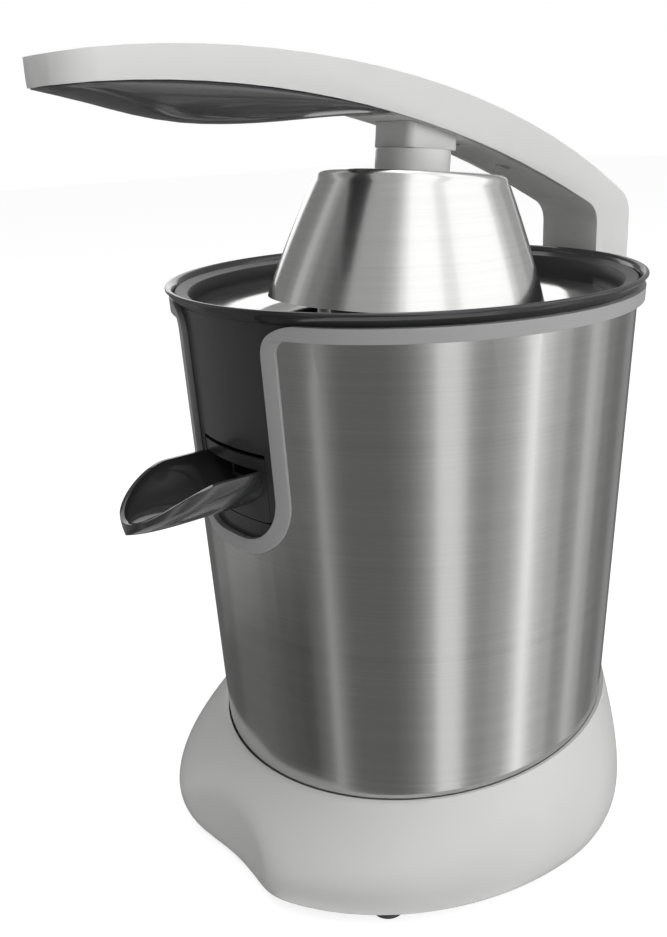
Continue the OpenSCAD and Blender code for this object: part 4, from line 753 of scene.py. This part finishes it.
class JUICER_OT_stage(bpy.types.Operator):
    """Pale floor, curtains for the metal to mirror, lamps, world and camera"""

    bl_idname = "juicer.stage"
    bl_label = "Stage"

    def execute(self, context):
        scene = context.scene
        scene.view_settings.view_transform = "Standard"
        self.floor()
        for start, end, tone in LOW_CURTAINS:
            dim = DARKER_SHARE if end <= DARKER_UP_TO else 1.0
            self.curtain(start, end, CURTAIN_FOOT, DARK_TO, round(tone * dim, 3))
            self.curtain(start, end, DARK_TO, HALF_DARK_TO, round(tone * (1 + dim) / 2, 3))
            self.curtain(start, end, HALF_DARK_TO, LOW_TO, round(tone, 3))
        for start, end, tone in HIGH_CURTAINS:
            self.curtain(start, end, LOW_TO, CURTAIN_TOP, tone)
        self.world(scene)
        self.lamp("side_softbox", bearing=112, height=0.75, away=1.5, width=1.1, tall=1.2, power=16)
        self.lamp("top_softbox", bearing=20, height=1.7, away=0.4, width=1.2, tall=1.2, power=12)
        self.ceiling()
        self.camera(scene)
        return {"FINISHED"}

    def floor(self):
        """White paper that glows a little where the camera sees it, as in a bright studio."""
        half_w, glow_share, glow_power = 6, 0.6, 1.36

        def make(sheet):
            seen = sheet.ray("Is Camera Ray", "Is Transmission Ray")
            paper = sheet.node("ShaderNodeBsdfDiffuse", None, (0.9, 0.9, 0.9, 1))
            glow = sheet.node("ShaderNodeEmission", None, WHITE, glow_power)
            sheet.end(sheet.node("ShaderNodeMixShader", None, glow_share * seen, paper, glow))
        bm = bmesh.new()
        bmesh.ops.create_grid(bm, x_segments=2, y_segments=2, size=half_w)
        floor = placed("floor", bm, finish_named("floor_white", make))
        floor.visible_glossy = False

    def curtain(self, start, end, low, high, tone):
        """One upright strip of the studio's surround, which only mirrors see."""
        away, step = 2.2, 4
        steps = max(2, int((end - start) / step))
        rings = []
        for z in (low, high):
            angles = [math.radians(start + (end - start) * i / steps) for i in range(steps + 1)]
            rings.append([(away * math.sin(a), -away * math.cos(a), z) for a in angles])
        self.mirrored_only(f"curtain_{start + 90}_{int(100 * (low + 4))}", skin(rings, closed=False), tone)

    def ceiling(self):
        """Small bright patch straight above, which only rounded lips mirror."""
        half_w, height, tone = 0.35, 2.1, 3.5
        bm = bmesh.new()
        place = Matrix.Translation((0, 0, height))
        bmesh.ops.create_grid(bm, x_segments=1, y_segments=1, size=half_w, matrix=place)
        self.mirrored_only("ceiling_patch", bm, tone)

    def mirrored_only(self, name, bm, tone):
        """A shining sheet that is seen in mirrors alone."""
        def make(sheet):
            sheet.end(sheet.node("ShaderNodeEmission", None, WHITE, tone))
        strip = placed(name, bm, finish_named(f"curtain_tone_{tone}", make))
        for ray in ("camera", "diffuse", "transmission", "volume_scatter", "shadow"):
            setattr(strip, "visible_" + ray, False)

    def world(self, scene):
        """White where it is seen or mirrored, dimmer as a light."""
        light_power = 0.43
        scene.world = bpy.data.worlds.new("studio")
        sheet = Sheet(scene.world)
        direct = sheet.ray("Is Camera Ray", "Is Glossy Ray", "Is Transmission Ray")
        glow = sheet.node("ShaderNodeBackground", None, WHITE, light_power)
        white = sheet.node("ShaderNodeBackground", None, WHITE, 1.0)
        sheet.end(sheet.node("ShaderNodeMixShader", None, direct, glow, white), "World")

    def lamp(self, name, bearing, height, away, width, tall, power):
        data = bpy.data.lights.new(name, "AREA")
        data.shape = "RECTANGLE"
        data.size = width
        data.size_y = tall
        data.energy = power
        lamp = bpy.data.objects.new(name, data)
        bpy.context.scene.collection.objects.link(lamp)
        middle = Vector((0, 0, 0.15))
        a = math.radians(bearing)
        place = Vector((away * math.sin(a), -away * math.cos(a), height))
        aim = middle - place
        lamp.matrix_world = Matrix.Translation(place) @ aim.to_track_quat("-Z", "Y").to_matrix().to_4x4()
        lamp.visible_glossy = False

    def camera(self, scene):
        bearing = math.radians(48.5)
        away = 394.53 * MM
        over_rim = 54.154 * MM
        yaw, pitch, roll = -0.0770, 0.3289, -0.0445
        data = bpy.data.cameras.new("photo_camera")
        data.sensor_fit = "VERTICAL"
        data.sensor_height = 36
        data.lens = 38.42
        data.clip_end = 50
        camera = bpy.data.objects.new("photo_camera", data)
        scene.collection.objects.link(camera)
        ahead = Vector((math.sin(yaw) * math.cos(pitch), math.cos(yaw) * math.cos(pitch), -math.sin(pitch)))
        right = Vector((math.cos(yaw), -math.sin(yaw), 0))
        up = right.cross(ahead)
        tilted_right = right * math.cos(roll) + up * math.sin(roll)
        tilted_up = up * math.cos(roll) - right * math.sin(roll)
        turn = Matrix.Rotation(bearing, 3, "Z")
        axes = [turn @ v for v in (tilted_right, tilted_up, -ahead)]
        place = turn @ Vector((0, -away, 0)) + Vector((0, 0, RIM_TOP + over_rim))
        camera.matrix_world = Matrix.Translation(place) @ Matrix(axes).transposed().to_4x4()
        scene.camera = camera


OPERATORS = (JUICER_OT_stage, JUICER_OT_base, JUICER_OT_body, JUICER_OT_bowl, JUICER_OT_drive,
             JUICER_OT_lever, JUICER_OT_press)


class JUICER_PT_panel(bpy.types.Panel):
    """Lists the juicer's sizes, colours and building steps"""

    bl_idname = "JUICER_PT_panel"
    bl_label = "Juicer"
    bl_space_type = "VIEW_3D"
    bl_region_type = "UI"
    bl_category = "Juicer"

    def draw(self, context):
        for group in (context.scene.juicer_sizes, context.scene.juicer_colours):
            box = self.layout.box()
            for key in group.__annotations__:
                box.prop(group, key)
        for operator in OPERATORS:
            self.layout.operator(operator.bl_idname)


CLASSES = (JuicerSizes, JuicerColours) + OPERATORS + (JUICER_PT_panel,)


def register():
    for cls in CLASSES:
        bpy.utils.register_class(cls)
    bpy.types.Scene.juicer_sizes = bpy.props.PointerProperty(type=JuicerSizes)
    bpy.types.Scene.juicer_colours = bpy.props.PointerProperty(type=JuicerColours)


def unregister():
    del bpy.types.Scene.juicer_colours
    del bpy.types.Scene.juicer_sizes
    for cls in reversed(CLASSES):
        bpy.utils.unregister_class(cls)


def main():
    register()
    for step in ("stage", "base", "body", "bowl", "drive", "lever", "press"):
        getattr(bpy.ops.juicer, step)()


if __name__ == "__main__":
    main()
